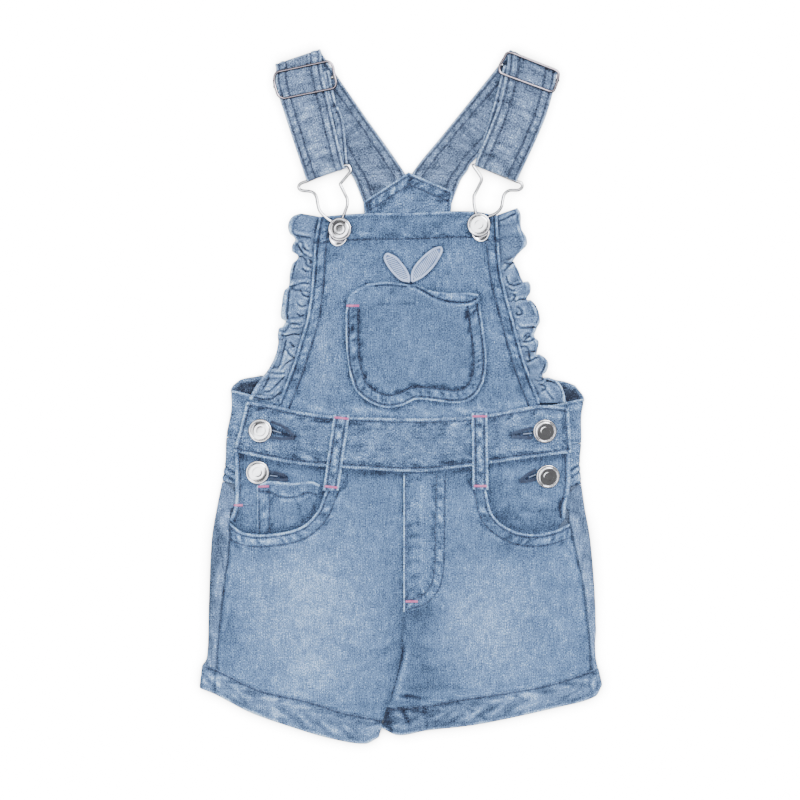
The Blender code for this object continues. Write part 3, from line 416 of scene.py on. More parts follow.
def spread(length: float, coarse: float = 1.0, fine: float = 0.6, reach: float = 9.0) -> np.ndarray:
    """Place columns along an edge, close together near both ends.

    Args:
        length: of the edge in millimetres.
        coarse: distance between columns in the middle.
        fine: distance near the ends.
        reach: how far from each end the fine columns go.

    Returns:
        Shares of the length, from 0 to 1.
    """
    lead = np.array([0.0, 0.18, 0.45])
    if length < 2.0 * reach + coarse:
        middle = np.linspace(0.8, length - 0.8, max(2, math.ceil((length - 1.6) / fine) + 1))
    else:
        inner = np.linspace(reach, length - reach, math.ceil((length - 2 * reach) / coarse) + 1)
        ends = np.arange(0.9, reach - 0.3, fine)
        middle = np.concatenate((ends, inner, length - ends[::-1]))
    return np.concatenate((lead, middle, length - lead[::-1])) / length


def front_level(x: np.ndarray, y: np.ndarray) -> np.ndarray:
    """Underside of the front legs: low at the centre and hem, high over the pockets."""
    across = np.abs(x)
    swell = 0.5 * np.exp(-((across - 70.0) / 34.0) ** 2 - ((y + 140.0) / 30.0) ** 2)
    layers = 1.4 * rise(across, 4.0, 44.0) + 1.7 * rise(across, 48.0, 84.0)
    return FRONT_LEVEL + layers * rise(y, -176.0, -104.0) + swell


def facing_level(x: np.ndarray, y: np.ndarray) -> np.ndarray:
    """Underside of the pocket facing, a layer below the front leg."""
    return front_level(x, y) - LIGHT_CLOTH - GAP


def waist_level(x: np.ndarray, y: np.ndarray) -> np.ndarray:
    """Underside of the front waistband, which rises over the button stands; y changes nothing."""
    across = np.abs(x)
    return FRONT_LEVEL + 0.7 * rise(across, 4.0, 44.0) + 0.9 * rise(across, 48.0, 84.0)


def bib_level(x: np.ndarray, y: np.ndarray) -> np.ndarray:
    """Underside of the bib, from the waistband's height up to the yoke patch's."""
    waist = (waist_level(x, y) - FRONT_LEVEL) * (1.0 - rise(y, -8.0, 46.0))
    return FRONT_LEVEL + waist + 1.4 * rise(y, 78.0, 106.0)


def coons(top: np.ndarray, bottom: np.ndarray, left: np.ndarray, right: np.ndarray,
          u: np.ndarray, v: np.ndarray) -> np.ndarray:
    """Grid between four edges.

    Args:
        top: points from left to right along the first row.
        bottom: points from left to right along the last row.
        left: points from top to bottom along the first column.
        right: points from top to bottom along the last column.
        u: share of each column, 0 at the left.
        v: share of each row, 0 at the top.

    Returns:
        Rows x columns x 2 array.
    """
    u, v = u[None, :, None], v[:, None, None]
    across = left[:, None] * (1 - u) + right[:, None] * u
    down = top[None] * (1 - v) + bottom[None] * v
    corners = ((top[0] * (1 - u) + top[-1] * u) * (1 - v)
               + (bottom[0] * (1 - u) + bottom[-1] * u) * v)
    return across + down - corners


def patch(top: Path, bottom: Path, left: Path, right: Path,
          level: Callable[[np.ndarray, np.ndarray], np.ndarray],
          coarse: float = 1.0, fine: float = 0.6, reach: float = 9.0) -> np.ndarray:
    """Lay the grid of a cut piece between four edges.

    Args:
        top: edge from left to right.
        bottom: edge from left to right.
        left: edge from top to bottom.
        right: edge from top to bottom.
        level: height of the piece's underside at x and y.
        coarse: see spread.
        fine: see spread.
        reach: see spread.

    Returns:
        Rows x columns x 3 array in millimetres.
    """
    u = spread((top.length + bottom.length) / 2, coarse, fine, reach)
    v = spread((left.length + right.length) / 2, coarse, fine, reach)
    flat = coons(top.at(u), bottom.at(u), left.at(v), right.at(v), u, v)
    return np.dstack((flat, level(flat[..., 0], flat[..., 1])))


# ---------------------------------------------------------------- finishes

def srgb(red: int, green: int, blue: int) -> tuple[float, float, float, float]:
    """Linear colour of an sRGB one."""
    return tuple(
        (c / 12.92 if c <= 0.04045 else ((c + 0.055) / 1.055) ** 2.4)
        for c in (red / 255, green / 255, blue / 255)) + (1.0,)


Socket = bpy.types.NodeSocket


class Tree:
    """Short hand for a tree of nodes."""

    def __init__(self, tree: bpy.types.NodeTree) -> None:
        """Work on a tree."""
        self.tree = tree

    def add(self, kind: str, settings: dict | None = None, **inputs: object) -> bpy.types.Node:
        """Add a node.

        Args:
            kind: node type without its ShaderNode prefix.
            settings: properties of the node.
            inputs: values or sockets to link, by input name with _ for a space.

        Returns:
            The node.
        """
        node = self.tree.nodes.new("ShaderNode" + kind)
        for key, value in (settings or {}).items():
            setattr(node, key, value)
        for key, value in inputs.items():
            place = int(key[1:]) if key[1:].isdigit() else key.replace("_", " ")
            socket = node.inputs[place]
            if isinstance(value, Socket):
                self.tree.links.new(value, socket)
            else:
                socket.default_value = value
        return node

    def maths(self, operation: str, *values: object) -> Socket:
        """Result of a Math node."""
        node = self.add("Math", {"operation": operation},
                        **{f"i{k}": value for k, value in enumerate(values)})
        return node.outputs[0]

    def scaled(self, vector: Socket, scale: Sequence[float], turn: float = 0.0) -> Socket:
        """A vector scaled along its axes after a turn about Z in degrees."""
        node = self.add("Mapping", None, Vector=vector, Scale=scale,
                        Rotation=(0.0, 0.0, math.radians(turn)))
        return node.outputs[0]

    def noise(self, vector: Socket, scale: float, detail: float = 2.0) -> Socket:
        """Noise around 0."""
        node = self.add("TexNoise", None, Vector=vector, Scale=scale, Detail=detail, Roughness=0.6)
        return self.maths("SUBTRACT", node.outputs[0], 0.5)

    def ramp(self, factor: Socket, stops: Sequence[tuple[float, tuple]]) -> Socket:
        """Add a colour ramp.

        Args:
            factor: what the ramp reads.
            stops: place and colour of each of its stops.

        Returns:
            The ramp's colour.
        """
        node = self.add("ValToRGB", None, Fac=factor)
        elements = node.color_ramp.elements
        while len(elements) < len(stops):
            elements.new(0.5)
        for element, (place, colour) in zip(elements, stops):
            element.position, element.color = place, colour
        return node.outputs[0]


class Nodes(Tree):
    """A material's nodes."""

    def __init__(self, name: str) -> None:
        """Start a material that holds nothing but its shader and output."""
        self.material = bpy.data.materials.new(name)
        self.material.use_nodes = True
        super().__init__(self.material.node_tree)
        self.shader = self.tree.nodes["Principled BSDF"]

    def fix(self, **values: object) -> None:
        """Set plain values on the shader's own sockets."""
        for key, value in values.items():
            self.shader.inputs[key.replace("_", " ")].default_value = value

    def surface(self, colour: Socket, height: Socket,
                strength: float, distance: float) -> bpy.types.Material:
        """Link colour and bump to the shader.

        Args:
            colour: colour of the surface.
            height: what the bump reads.
            strength: share of the bump.
            distance: full height of the bump in metres.

        Returns:
            The finished material.
        """
        bump = self.add("Bump", None, Strength=strength, Distance=distance, Height=height)
        self.tree.links.new(colour, self.shader.inputs["Base Color"])
        self.tree.links.new(bump.outputs[0], self.shader.inputs["Normal"])
        return self.material


@dataclass(frozen=True)
class Denim:
    """Washed denim: dyed warp over pale weft, worn along the folds.

    The cloth chart, in decimetres, is the UV map; the colour attribute says how pale (red: wear,
    and painted shade and highlights along seams, creases and raised edges) and how grey (green)
    the cloth is at each point, 0.5 being the finish's own middle.
    """

    name: str
    shift: float = 0.0      # paler above 0
    grey: float = 0.0
    grain: float = 1.50
    slub: float = 0.55
    cloud: float = 0.30
    smudge: float = 0.10    # wash marks that lie across the warp

    STOPS = (
        (0, (16, 24, 44)), (0.16, (43, 56, 79)), (0.34, (68, 87, 115)), (0.5, (86, 110, 146)),
        (0.66, (106, 134, 175)), (0.82, (135, 168, 216)), (1, (200, 230, 255)),
    )

    def material(self) -> bpy.types.Material:
        """Build the material."""
        nodes = Nodes(self.name)
        chart = nodes.scaled(nodes.add("UVMap", {"uv_map": "weave"}).outputs[0], (100, 100, 1))
        # Red: wear, with painted shade and highlights along seams, creases and raised edges; green:
        # greyness.
        worn = nodes.add("Attribute", {"attribute_name": "tone"})
        channels = nodes.add("SeparateColor", None, Color=worn.outputs["Color"])
        grain = nodes.noise(nodes.scaled(chart, (2.0, 1.0, 1)), 1.0, 1.0)
        slub = nodes.noise(nodes.scaled(chart, (1.5, 0.10, 1)), 1.0, 1.0)
        blotch = nodes.noise(chart, 0.16, 1.0)
        cloud = nodes.noise(chart, 0.035, 2.0)
        smudge = nodes.noise(nodes.scaled(chart, (0.09, 0.34, 1)), 1.0, 2.0)
        twill = nodes.add("TexWave", {"wave_type": "BANDS", "bands_direction": "X"},
                          Vector=nodes.scaled(chart, (1, 1, 1), 62.0), Scale=0.42,
                          Distortion=1.2, Detail=1.0, Detail_Scale=2.0)
        rib = nodes.maths("SUBTRACT", twill.outputs["Fac"], 0.5)
        shade = nodes.maths("ADD", channels.outputs[0], self.shift)
        for part, amount in ((grain, self.grain), (slub, self.slub), (blotch, self.cloud),
                             (cloud, self.cloud * 0.8), (smudge, self.smudge), (rib, 0.045)):
            shade = nodes.maths("MULTIPLY_ADD", part, amount, shade)
        colour = nodes.ramp(shade, [(place, srgb(*c)) for place, c in self.STOPS])
        dull = nodes.maths("MULTIPLY_ADD", channels.outputs[1], -0.5, 1.31 - self.grey)
        toned = nodes.add("HueSaturation", None, Saturation=dull, Color=colour)
        height = nodes.maths("MULTIPLY_ADD", rib, 0.5,
            nodes.maths("MULTIPLY_ADD", slub, 0.7, grain))
        nodes.fix(Roughness=0.86, Specular_IOR_Level=0.22, Sheen_Weight=0.12, Sheen_Roughness=0.5)
        return nodes.surface(toned.outputs[0], height, 0.55, 0.0007)


@dataclass(frozen=True)
class Yarn:
    """Sewing thread or embroidery, twisted and a little shiny."""

    name: str
    colour: tuple[int, int, int]
    pale: tuple[int, int, int]
    gloss: float = 0.5

    def material(self) -> bpy.types.Material:
        """Build the material."""
        nodes = Nodes(self.name)
        place = nodes.add("TexCoord").outputs["Object"]
        wear = nodes.noise(place, 160.0, 2.0)
        twist = nodes.noise(nodes.scaled(place, (1, 1, 1), 30.0), 1500.0, 1.0)
        mixed = nodes.ramp(nodes.maths("MULTIPLY_ADD", wear, 2.2, 0.5),
                           [(0.15, srgb(*self.colour)), (0.95, srgb(*self.pale))])
        nodes.fix(Roughness=1.0 - self.gloss, Specular_IOR_Level=0.3, Sheen_Weight=0.15)
        return nodes.surface(mixed, twist, 0.5, 0.0003)


@dataclass(frozen=True)
class Metal:
    """Polished nickel with faint handling marks; its flanks are painted dark, a painted reflection.
    """

    name: str
    colour: tuple[int, int, int] = (240, 242, 248)
    painted_flank_shade: tuple[int, int, int] = (30, 27, 33)
    rough: float = 0.12
    dull: float = 0.38      # up to here, from level to upright, the metal takes the painted dark of its flanks

    def material(self) -> bpy.types.Material:
        """Build the material."""
        nodes = Nodes(self.name)
        place = nodes.add("TexCoord").outputs["Object"]
        haze = nodes.noise(place, 320.0, 3.0)
        scratch = nodes.noise(nodes.scaled(place, (900, 120, 900), 25.0), 1.0, 1.0)
        up = nodes.add("SeparateColor", None, Color=nodes.add("Attribute",
            {"attribute_name": "tone"}).outputs["Color"])
        # Dark where the surface turns from level, a painted reflection on the flanks; the metal's
        # own colour where it faces up.
        colour = nodes.ramp(nodes.maths("MULTIPLY_ADD", haze, 0.5, up.outputs[0]),
                            [(self.dull, srgb(*self.painted_flank_shade)), (0.88, srgb(*self.colour))])
        rough = nodes.maths("MULTIPLY_ADD", haze, 0.25, self.rough)
        nodes.tree.links.new(rough, nodes.shader.inputs["Roughness"])
        nodes.fix(Metallic=1.0)
        return nodes.surface(colour, scratch, 0.12, 0.0001)


class Wardrobe:
    """The garment's finishes, each made once."""

    FINISHES = {
        "panel_denim": Denim("panel_denim", 0.02),
        "side_denim": Denim("side_denim", 0.02, 0.08),
        "bib_denim": Denim("bib_denim", -0.03, 0.0, 1.7),
        "band_denim": Denim("band_denim", -0.03, 0.02, 1.95, 0.5, 0.45, 0.42),
        "hem_denim": Denim("hem_denim", -0.01, 0.04, 1.5, 0.45, 0.40, 0.30),
        "pocket_denim": Denim("pocket_denim", -0.05, 0.0),
        "strap_denim": Denim("strap_denim", 0.0, 0.16, 1.75, 0.5, 0.40, 0.60),
        "ruffle_denim": Denim("ruffle_denim", 0.03, 0.05, 1.6, 0.3, 0.30, 0.20),
        "leaf_cloth": Yarn("leaf_cloth", (92, 114, 156), (120, 144, 186), 0.35),
        "leaf_thread": Yarn("leaf_thread", (178, 196, 230), (204, 218, 244), 0.45),
        "navy_thread": Yarn("navy_thread", (38, 50, 76), (62, 80, 110)),
        "pink_thread": Yarn("pink_thread", (192, 84, 142), (218, 132, 176)),
        "satin_thread": Yarn("satin_thread", (176, 194, 232), (200, 216, 246), 0.6),
        "edge_thread": Yarn("edge_thread", (120, 138, 170), (160, 176, 200), 0.5),
        "silver_metal": Metal("silver_metal", painted_flank_shade=(88, 84, 90), dull=0.78),
        "slider_metal": Metal("slider_metal", (160, 152, 162), (58, 54, 60), 0.10, 0.76),
        "button_metal": Metal("button_metal", (244, 245, 250), (96, 91, 98), 0.10, 0.66),
    }

    def __init__(self) -> None:
        """Start with nothing made."""
        self.made: dict[str, bpy.types.Material] = {}

    def get(self, name: str) -> bpy.types.Material:
        """The material of a finish."""
        if name not in self.made:
            self.made[name] = self.FINISHES[name].material()
        return self.made[name]


WARDROBE = Wardrobe()


# ---------------------------------------------------------------- what is sewn, worn or painted as shade and highlight on cloth

MEASURED: dict[tuple[int, int], tuple[np.ndarray, np.ndarray, np.ndarray]] = {}


def measured(line: Path, u: np.ndarray, v: np.ndarray) -> tuple[np.ndarray, np.ndarray, np.ndarray]:
    """Distances of a chart's points from a line, worked out once for each sheet."""
    key = (id(line), id(u))
    if key not in MEASURED:
        MEASURED[key] = line.measure(u, v)
    return MEASURED[key]


@dataclass(frozen=True)
class Mark:
    """Something sewn, folded, rubbed, or painted as shade and highlight along a line of a cloth's
    chart, in millimetres.
    """

    line: Path
    at: float = 0.0        # distance from the line
    width: float = 0.8
    lift: float = 0.0
    shade: float = 0.0
    uneven: float = 0.0    # share that comes and goes along the line
    beat: float = 6.0
    fade: float = 0.0      # length over which it dies out at each end
    seed: float = 1.0

    def press(self, u: np.ndarray, v: np.ndarray) -> tuple[np.ndarray, np.ndarray]:
        """Lift and shade that the mark adds at each point of a chart."""
        away, place, _ = measured(self.line, u, v)
        power = np.exp(-((away - self.at) / self.width) ** 2)
        if self.uneven:
            wave = mottle(place / self.beat + away * 0.30, away / 5.0 + self.seed, self.seed)
            power = power * (1.0 + self.uneven * wave * 1.6)
        if self.fade:
            power = power * rise(place, 0.0, self.fade) * rise(self.line.length - place, 0.0,
                self.fade)
        return power * self.lift, power * self.shade


@dataclass(frozen=True)
class WashAndShade:
    """A soft round area that is paler or darker than the rest; most are wash fades, and some, below
    raised edges, painted shadow.
    """

    centre: tuple[float, float]
    reach: tuple[float, float]
    shade: float
    turn: float = 0.0
    grey: float = 0.0

    def power(self, u: np.ndarray, v: np.ndarray) -> np.ndarray:
        """Strength at each point of a chart."""
        c, s = math.cos(math.radians(self.turn)), math.sin(math.radians(self.turn))
        du, dv = u - self.centre[0], v - self.centre[1]
        along, across = (du * c + dv * s) / self.reach[0], (dv * c - du * s) / self.reach[1]
        return np.exp(-along ** 2 - across ** 2)


@dataclass(frozen=True)
class Row:
    """A row of stitches along a line of a cloth's chart."""

    line: Path
    at: float = 0.0
    start: float = 0.0     # millimetres left out at each end
    end: float = 0.0
    thread: str = "navy_thread"
    pitch: float = 2.9
    face: Face = Face.OUT
    thick: float = 0.62
    hand: int = 0          # 1 or -1 sews on that side of the line, 0 on the cloth's side


def top_stitch(line: Path, rows: Sequence[float] = (2.2,), rim: float = 0.26, seam: float = -0.36,
               rope: float = 0.14, seed: float = 1.0, start: float = 0.0, end: float = 0.0,
               fade: float = 0.5) -> tuple[list, list]:
    """A folded edge with one or two rows of stitches beside it.

    Args:
        line: the edge.
        rows: distance of each row from the edge.
        rim: how much paler the rubbed edge is.
        seam: how much darker the sunk lines along the rows are, painted shade.
        rope: how strongly the band between two rows is roped.
        seed: picks the unevenness.
        start: length without stitches at the line's start.
        end: length without stitches at its end.
        fade: length over which the marks die out at both ends.

    Returns:
        Marks and rows of stitches.
    """
    first = rows[0]
    marks = [Mark(line, first * 0.34, first * 0.32, 0.14, rim, 0.45, 4, fade, seed)]
    # The rows sink into the cloth and are painted darker there: painted shade.
    marks += [Mark(line, row, 0.58, -0.3, seam, 0.4, 1.5, fade, seed + 2 + row) for row in rows]
    if len(rows) == 2:
        middle, span = sum(rows) / 2, rows[1] - rows[0]
        marks.append(Mark(line, middle, span * 0.36, 0.2, -0.1, fade=fade))
        marks.append(Mark(line, middle, span * 0.38, 0.1, rope * 0.5, 2.4, 1.9, fade, seed + 5))
    # A band painted darker just beyond the last row, unevenly: painted shadow.
    marks.append(Mark(line, rows[-1] + 1.9, 1.3, 0.04, -rope * 0.8, 1.2, 3.4, fade, seed + 6))
    return marks, [Row(line, row, start, end) for row in rows]


@dataclass
class Sheet:
    """One cut piece of cloth, from its grid to the finished mesh."""

    name: str
    base: np.ndarray               # rows x columns x 3 in millimetres
    wall: float
    finish: str
    slot: str
    nodes: tuple[str, ...] = ()
    chart: np.ndarray | None = None
    middle: bool = False           # the grid is the cloth's middle, not its underside
    closed: bool = False           # each row joins its own end
    double: bool = False           # both faces are finished alike
    shade: float = 0.0
    inside: float = -0.1
    grey: float = 0.0
    slack: float = 0.16
    slack_size: float = 16.0
    soft_edge: float = 0.8
    held: str = "laid"
    rests_on: tuple[str, ...] = ()
    seed: float = 1.0
    marks: list[Mark] = field(default_factory=list)
    wash_and_shade: list[WashAndShade] = field(default_factory=list)
    rows: list[Row] = field(default_factory=list)
    extra_shade: np.ndarray | None = None
    lip: float = 0.0               # how much paler the inside is along its edges
    # a second chart, on which the drawn marks lie
    plan: tuple[np.ndarray, np.ndarray] | None = None
    drawn: list[Mark] = field(default_factory=list)

    def __post_init__(self) -> None:
        """Fill the chart from the grid where none is given."""
        if self.chart is None:
            self.chart = self.base[..., :2].copy()

    def fade(self, *areas: tuple[float, ...]) -> None:
        """Add pale and dark areas (wash fades, and painted shadow below raised edges), each as x,
        y, both reaches, shade and, where it has one, grey.
        """
        self.wash_and_shade += [WashAndShade(area[:2], area[2:4], area[4], 0, *area[5:]) for area in areas]

    def sew(self, sewn: tuple[list, list], stitched: bool = True) -> None:
        """Add what top_stitch returns."""
        self.marks += sewn[0]
        if stitched:
            self.rows += sewn[1]

    def normals(self, grid: np.ndarray) -> np.ndarray:
        """Unit normals of a grid, up where the cloth lies highest."""
        if self.closed:
            wide = np.concatenate((grid[:, -1:], grid, grid[:, :1]), axis=1)
            across = (wide[:, 2:] - wide[:, :-2])
        else:
            across = np.gradient(grid, axis=1)
        normal = np.cross(np.gradient(grid, axis=0), across)
        normal /= np.maximum(np.linalg.norm(normal, axis=2, keepdims=True), 1e-9)
        high = grid[..., 2] >= np.quantile(grid[..., 2], 0.6)
        return normal if normal[high][:, 2].mean() > 0 else -normal

    def edge_distance(self) -> np.ndarray:
        """Distance of each point from the piece's nearest open edge, along the grid."""
        down = np.linalg.norm(np.diff(self.base, axis=0), axis=2)
        down = np.vstack((np.zeros((1, down.shape[1])), np.cumsum(down, axis=0)))
        best = np.minimum(down, down[-1:] - down)
        if not self.closed:
            over = np.linalg.norm(np.diff(self.base, axis=1), axis=2)
            over = np.hstack((np.zeros((over.shape[0], 1)), np.cumsum(over, axis=1)))
            best = np.minimum(best, np.minimum(over, over[:, -1:] - over))
        return best

    def press(self) -> None:
        """Press the marks into the cloth: the outer and inner face, their normals and tones."""
        u, v = self.chart[..., 0], self.chart[..., 1]
        lift, shade = np.zeros(u.shape), np.full(u.shape, 0.5 + self.shade)
        MEASURED.clear()
        for mark in self.marks:
            up, tone = mark.press(u, v)
            lift += up
            shade += tone
        for mark in self.drawn:
            up, tone = mark.press(*self.plan)
            lift += up
            shade += tone
        grey = np.full(u.shape, 0.5 + self.grey)
        for fade in self.wash_and_shade:
            power = fade.power(u, v)
            shade += power * fade.shade
            grey += power * fade.grey
        if self.extra_shade is not None:
            shade += self.extra_shade
        self.tone = np.dstack((shade, grey))
        away = self.edge_distance()
        full = np.sqrt(np.clip(1.0 - (1.0 - np.clip(away / self.soft_edge, 0.0, 1.0)) ** 2, 0.09,
            1.0))
        size = self.slack_size
        slack = self.slack * (mottle(u / size, v / size, self.seed)
                              + 0.5 * mottle(u / size * 2.3, v / size * 2.3, self.seed + 9))
        slack = slack * rise(away, 0.0, 14.0)
        base = self.base.copy()
        base[..., 2] += slack
        normal = self.normals(base)
        top, low = (self.wall / 2, -self.wall / 2) if self.middle else (self.wall, 0.0)
        centre = (top + low) / 2
        self.outer = base + normal * (centre + (top - centre) * full + lift)[..., None]
        under = (centre + (low - centre) * full - (lift if self.double else 0.0))
        self.inner = base + normal * under[..., None]
        self.normal = self.normals(self.outer)

    def build(self) -> None:
        """Make the closed mesh, with its chart, its tones and its finish."""
        self.press()
        outer, inner = self.outer, self.inner
        rows, columns = outer.shape[:2]
        wide = columns + 1 if self.closed else columns
        chart = self.chart
        if self.closed:
            step = np.linalg.norm(outer[:, 0] - outer[:, -1], axis=1)
            last = np.stack((chart[:, -1, 0] + step, chart[:, 0, 1]), axis=1)
            chart = np.concatenate((chart, last[:, None]), axis=1)
        corner = np.arange(rows * wide).reshape(rows, wide)
        point = (np.arange(rows)[:, None] * columns + np.arange(wide)[None] % columns)
        quads = []
        for shift, turn in ((0, False), (rows * columns, True)):
            a, b, c, d = ((0, 0), (0, 1), (1, 1), (1, 0))
            ring = (a, d, c, b) if turn else (a, b, c, d)
            quads.append(np.stack([
                np.stack((point[i:rows - 1 + i, j:wide - 1 + j] + shift,
                          corner[i:rows - 1 + i, j:wide - 1 + j]), axis=-1).reshape(-1, 2)
                for i, j in ring], axis=1))
        edges = [(point[0], corner[0], False), (point[-1], corner[-1], True)]
        if not self.closed:
            edges += [(point[:, 0], corner[:, 0], True), (point[:, -1], corner[:, -1], False)]
        for run, marks, turn in edges:
            a, b = np.stack((run[:-1], marks[:-1]), 1), np.stack((run[1:], marks[1:]), 1)
            c, d = b + (rows * columns, 0), a + (rows * columns, 0)
            ring = (a, b, c, d) if turn else (a, d, c, b)
            quads.append(np.stack(ring, axis=1))
        quads = np.vstack(quads)
        middle = rows // 2, columns // 2
        facing = np.cross(outer[middle[0], middle[1] + 1] - outer[middle],
            outer[middle[0] + 1, middle[1]] - outer[middle])
        if facing @ self.normal[middle] < 0:
            quads = quads[:, ::-1]
        tone_out = self.tone.reshape(-1, 2)
        lip = self.lip * np.exp(-(self.edge_distance().reshape(-1) / 3.0) ** 4)
        tone_in = tone_out if self.double else np.column_stack((0.5 + self.inside + lip,
            0.8 - lip * 0.5))
        mesh = make_mesh(self.name, np.vstack((outer.reshape(-1, 3), inner.reshape(-1, 3))),
            quads[..., 0],
                         (chart.reshape(-1, 2) / 100.0)[quads[..., 1]],
                         np.vstack((tone_out, tone_in)))
        piece = add_piece(mesh, self.finish, self.slot, self.nodes)
        span = self.chart.reshape(-1, 2).max(axis=0) - self.chart.reshape(-1, 2).min(axis=0)
        if self.closed:
            span = span + (np.linalg.norm(outer[0, 0] - outer[0, -1]), 0.0)
        area = quad_area(self.base, self.closed)
        flat = tuple(float(max(s, 1.0)) * MM for s in span)
        list(self.rests_on)

    def spots(self, points: np.ndarray, face: Face = Face.OUT) -> tuple[np.ndarray, np.ndarray]:
        """Places on a face for points of the chart.

        Args:
            points: N x 2 chart points.
            face: which face of the cloth.

        Returns:
            N x 3 places and N x 3 normals.
        """
        rows, columns = self.chart.shape[:2]
        if not hasattr(self, "tree"):
            flat = np.dstack((self.chart, np.zeros((rows, columns)))).reshape(-1, 3)
            corner = np.arange(rows * columns).reshape(rows, columns)
            cells = np.stack((corner[:-1, :-1], corner[:-1, 1:], corner[1:, 1:], corner[1:, :-1]),
                axis=-1)
            self.tree = BVHTree.FromPolygons(flat.tolist(), cells.reshape(-1, 4).tolist())
        surface = self.outer if face is Face.OUT else self.inner
        cell = np.array([self.tree.find_nearest((float(u), float(v), 0.0))[2] for u, v in points])
        i, j = cell // (columns - 1), cell % (columns - 1)
        origin = self.chart[i, j]
        over, down = self.chart[i, j + 1] - origin, self.chart[i + 1, j] - origin
        away = np.asarray(points) - origin
        area = over[:, 0] * down[:, 1] - over[:, 1] * down[:, 0]
        area = np.where(np.abs(area) < 1e-9, 1e-9, area)
        a = np.clip((away[:, 0] * down[:, 1] - away[:, 1] * down[:, 0]) / area, 0.0, 1.0)[:, None]
        b = np.clip((over[:, 0] * away[:, 1] - over[:, 1] * away[:, 0]) / area, 0.0, 1.0)[:, None]
        places = ((1 - a) * (1 - b) * surface[i, j] + a * (1 - b) * surface[i, j + 1]
                  + (1 - a) * b * surface[i + 1, j] + a * b * surface[i + 1, j + 1])
        normal = self.normal[i, j] * face.value
        return places, normal

    def cloth_side(self, line: Path) -> float:
        """1 if the cloth lies on the left of a line, -1 if on the right."""
        u, v = self.chart[..., 0].ravel(), self.chart[..., 1].ravel()
        away, _, hand = line.measure(u, v)
        near = (away > 0.4) & (away < 9.0)
        return 1.0 if hand[near].sum() >= 0 else -1.0

    def make(self) -> None:
        """Build the cloth and sew its rows, one mesh for each thread."""
        self.build()
        batches: dict[str, Threads] = {}
        for row in self.rows:
            side = row.hand or self.cloth_side(row.line)
            batch = batches.setdefault(row.thread, Threads(f"{self.name}_{row.thread}", row.thread))
            batch.run(self, row, side)
        for batch in batches.values():
            batch.build(self.slot)


def quad_area(grid: np.ndarray, closed: bool) -> float:
    """Area of a grid in square millimetres."""
    if closed:
        grid = np.concatenate((grid, grid[:, :1]), axis=1)
    a, b, c, d = grid[:-1, :-1], grid[:-1, 1:], grid[1:, 1:], grid[1:, :-1]
    halves = np.linalg.norm(np.cross(b - a, c - a), axis=2) + np.linalg.norm(np.cross(c - a, d - a),
        axis=2)
    return float(halves.sum() / 2)


def make_mesh(name: str, points: np.ndarray, faces: np.ndarray, chart: np.ndarray | None = None,
              tone: np.ndarray | None = None) -> bpy.types.Mesh:
    """Mesh from arrays.

    Args:
        name: name of the mesh.
        points: N x 3 in millimetres.
        faces: M x 4 point numbers.
        chart: M x 4 x 2 UV places.
        tone: N x 2 pale and grey shares, the pale share carrying wear and painted shade and
            highlights.

    Returns:
        The mesh, shaded smooth.
    """
    mesh = bpy.data.meshes.new(name)
    mesh.vertices.add(len(points))
    mesh.vertices.foreach_set("co", (points * MM).ravel())
    mesh.loops.add(faces.size)
    mesh.loops.foreach_set("vertex_index", faces.ravel().astype(np.int32))
    mesh.polygons.add(len(faces))
    mesh.polygons.foreach_set("loop_start", np.arange(0, faces.size, 4, dtype=np.int32))
    mesh.update(calc_edges=True)
    if chart is not None:
        mesh.uv_layers.new(name="weave").data.foreach_set("uv", chart.ravel())
    if tone is not None:
        colours = np.concatenate((np.clip(tone, 0.0, 1.0), np.ones((len(tone), 2))), axis=1)
        mesh.attributes.new("tone", "FLOAT_COLOR", "POINT").data.foreach_set("color",
            colours.ravel())
    mesh.shade_smooth()
    return mesh


def add_piece(mesh: bpy.types.Mesh, finish: str, slot: str,
    nodes: Iterable[str] = ()) -> bpy.types.Object:
    """Link a piece to the scene.

    Args:
        mesh: its finished mesh.
        finish: name of its material in the wardrobe.
        slot: material slot of the record; not used.
        nodes: CAD nodes that it stands for.

    Returns:
        The piece.
    """
    piece = bpy.data.objects.new(mesh.name, mesh)
    bpy.context.scene.collection.objects.link(piece)
    if isinstance(WARDROBE.FINISHES[finish], Metal):
        # Metals keep how far each point faces up, which their ramp turns into a painted dark
        # reflection on the flanks.
        up = np.empty(len(mesh.vertices) * 3)
        mesh.vertices.foreach_get("normal", up)
        tone = np.ones((len(mesh.vertices), 4)) * np.clip(up.reshape(-1, 3)[:, 2:], 0.0, 1.0)
        mesh.attributes.new("tone", "FLOAT_COLOR", "POINT").data.foreach_set("color", tone.ravel())
    mesh.materials.clear()
    mesh.materials.append(WARDROBE.get(finish))
    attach(piece, "root")
    if nodes:
        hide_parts(*nodes)
    LOG.info("%s: %d faces", piece.name, len(mesh.polygons))
    return piece


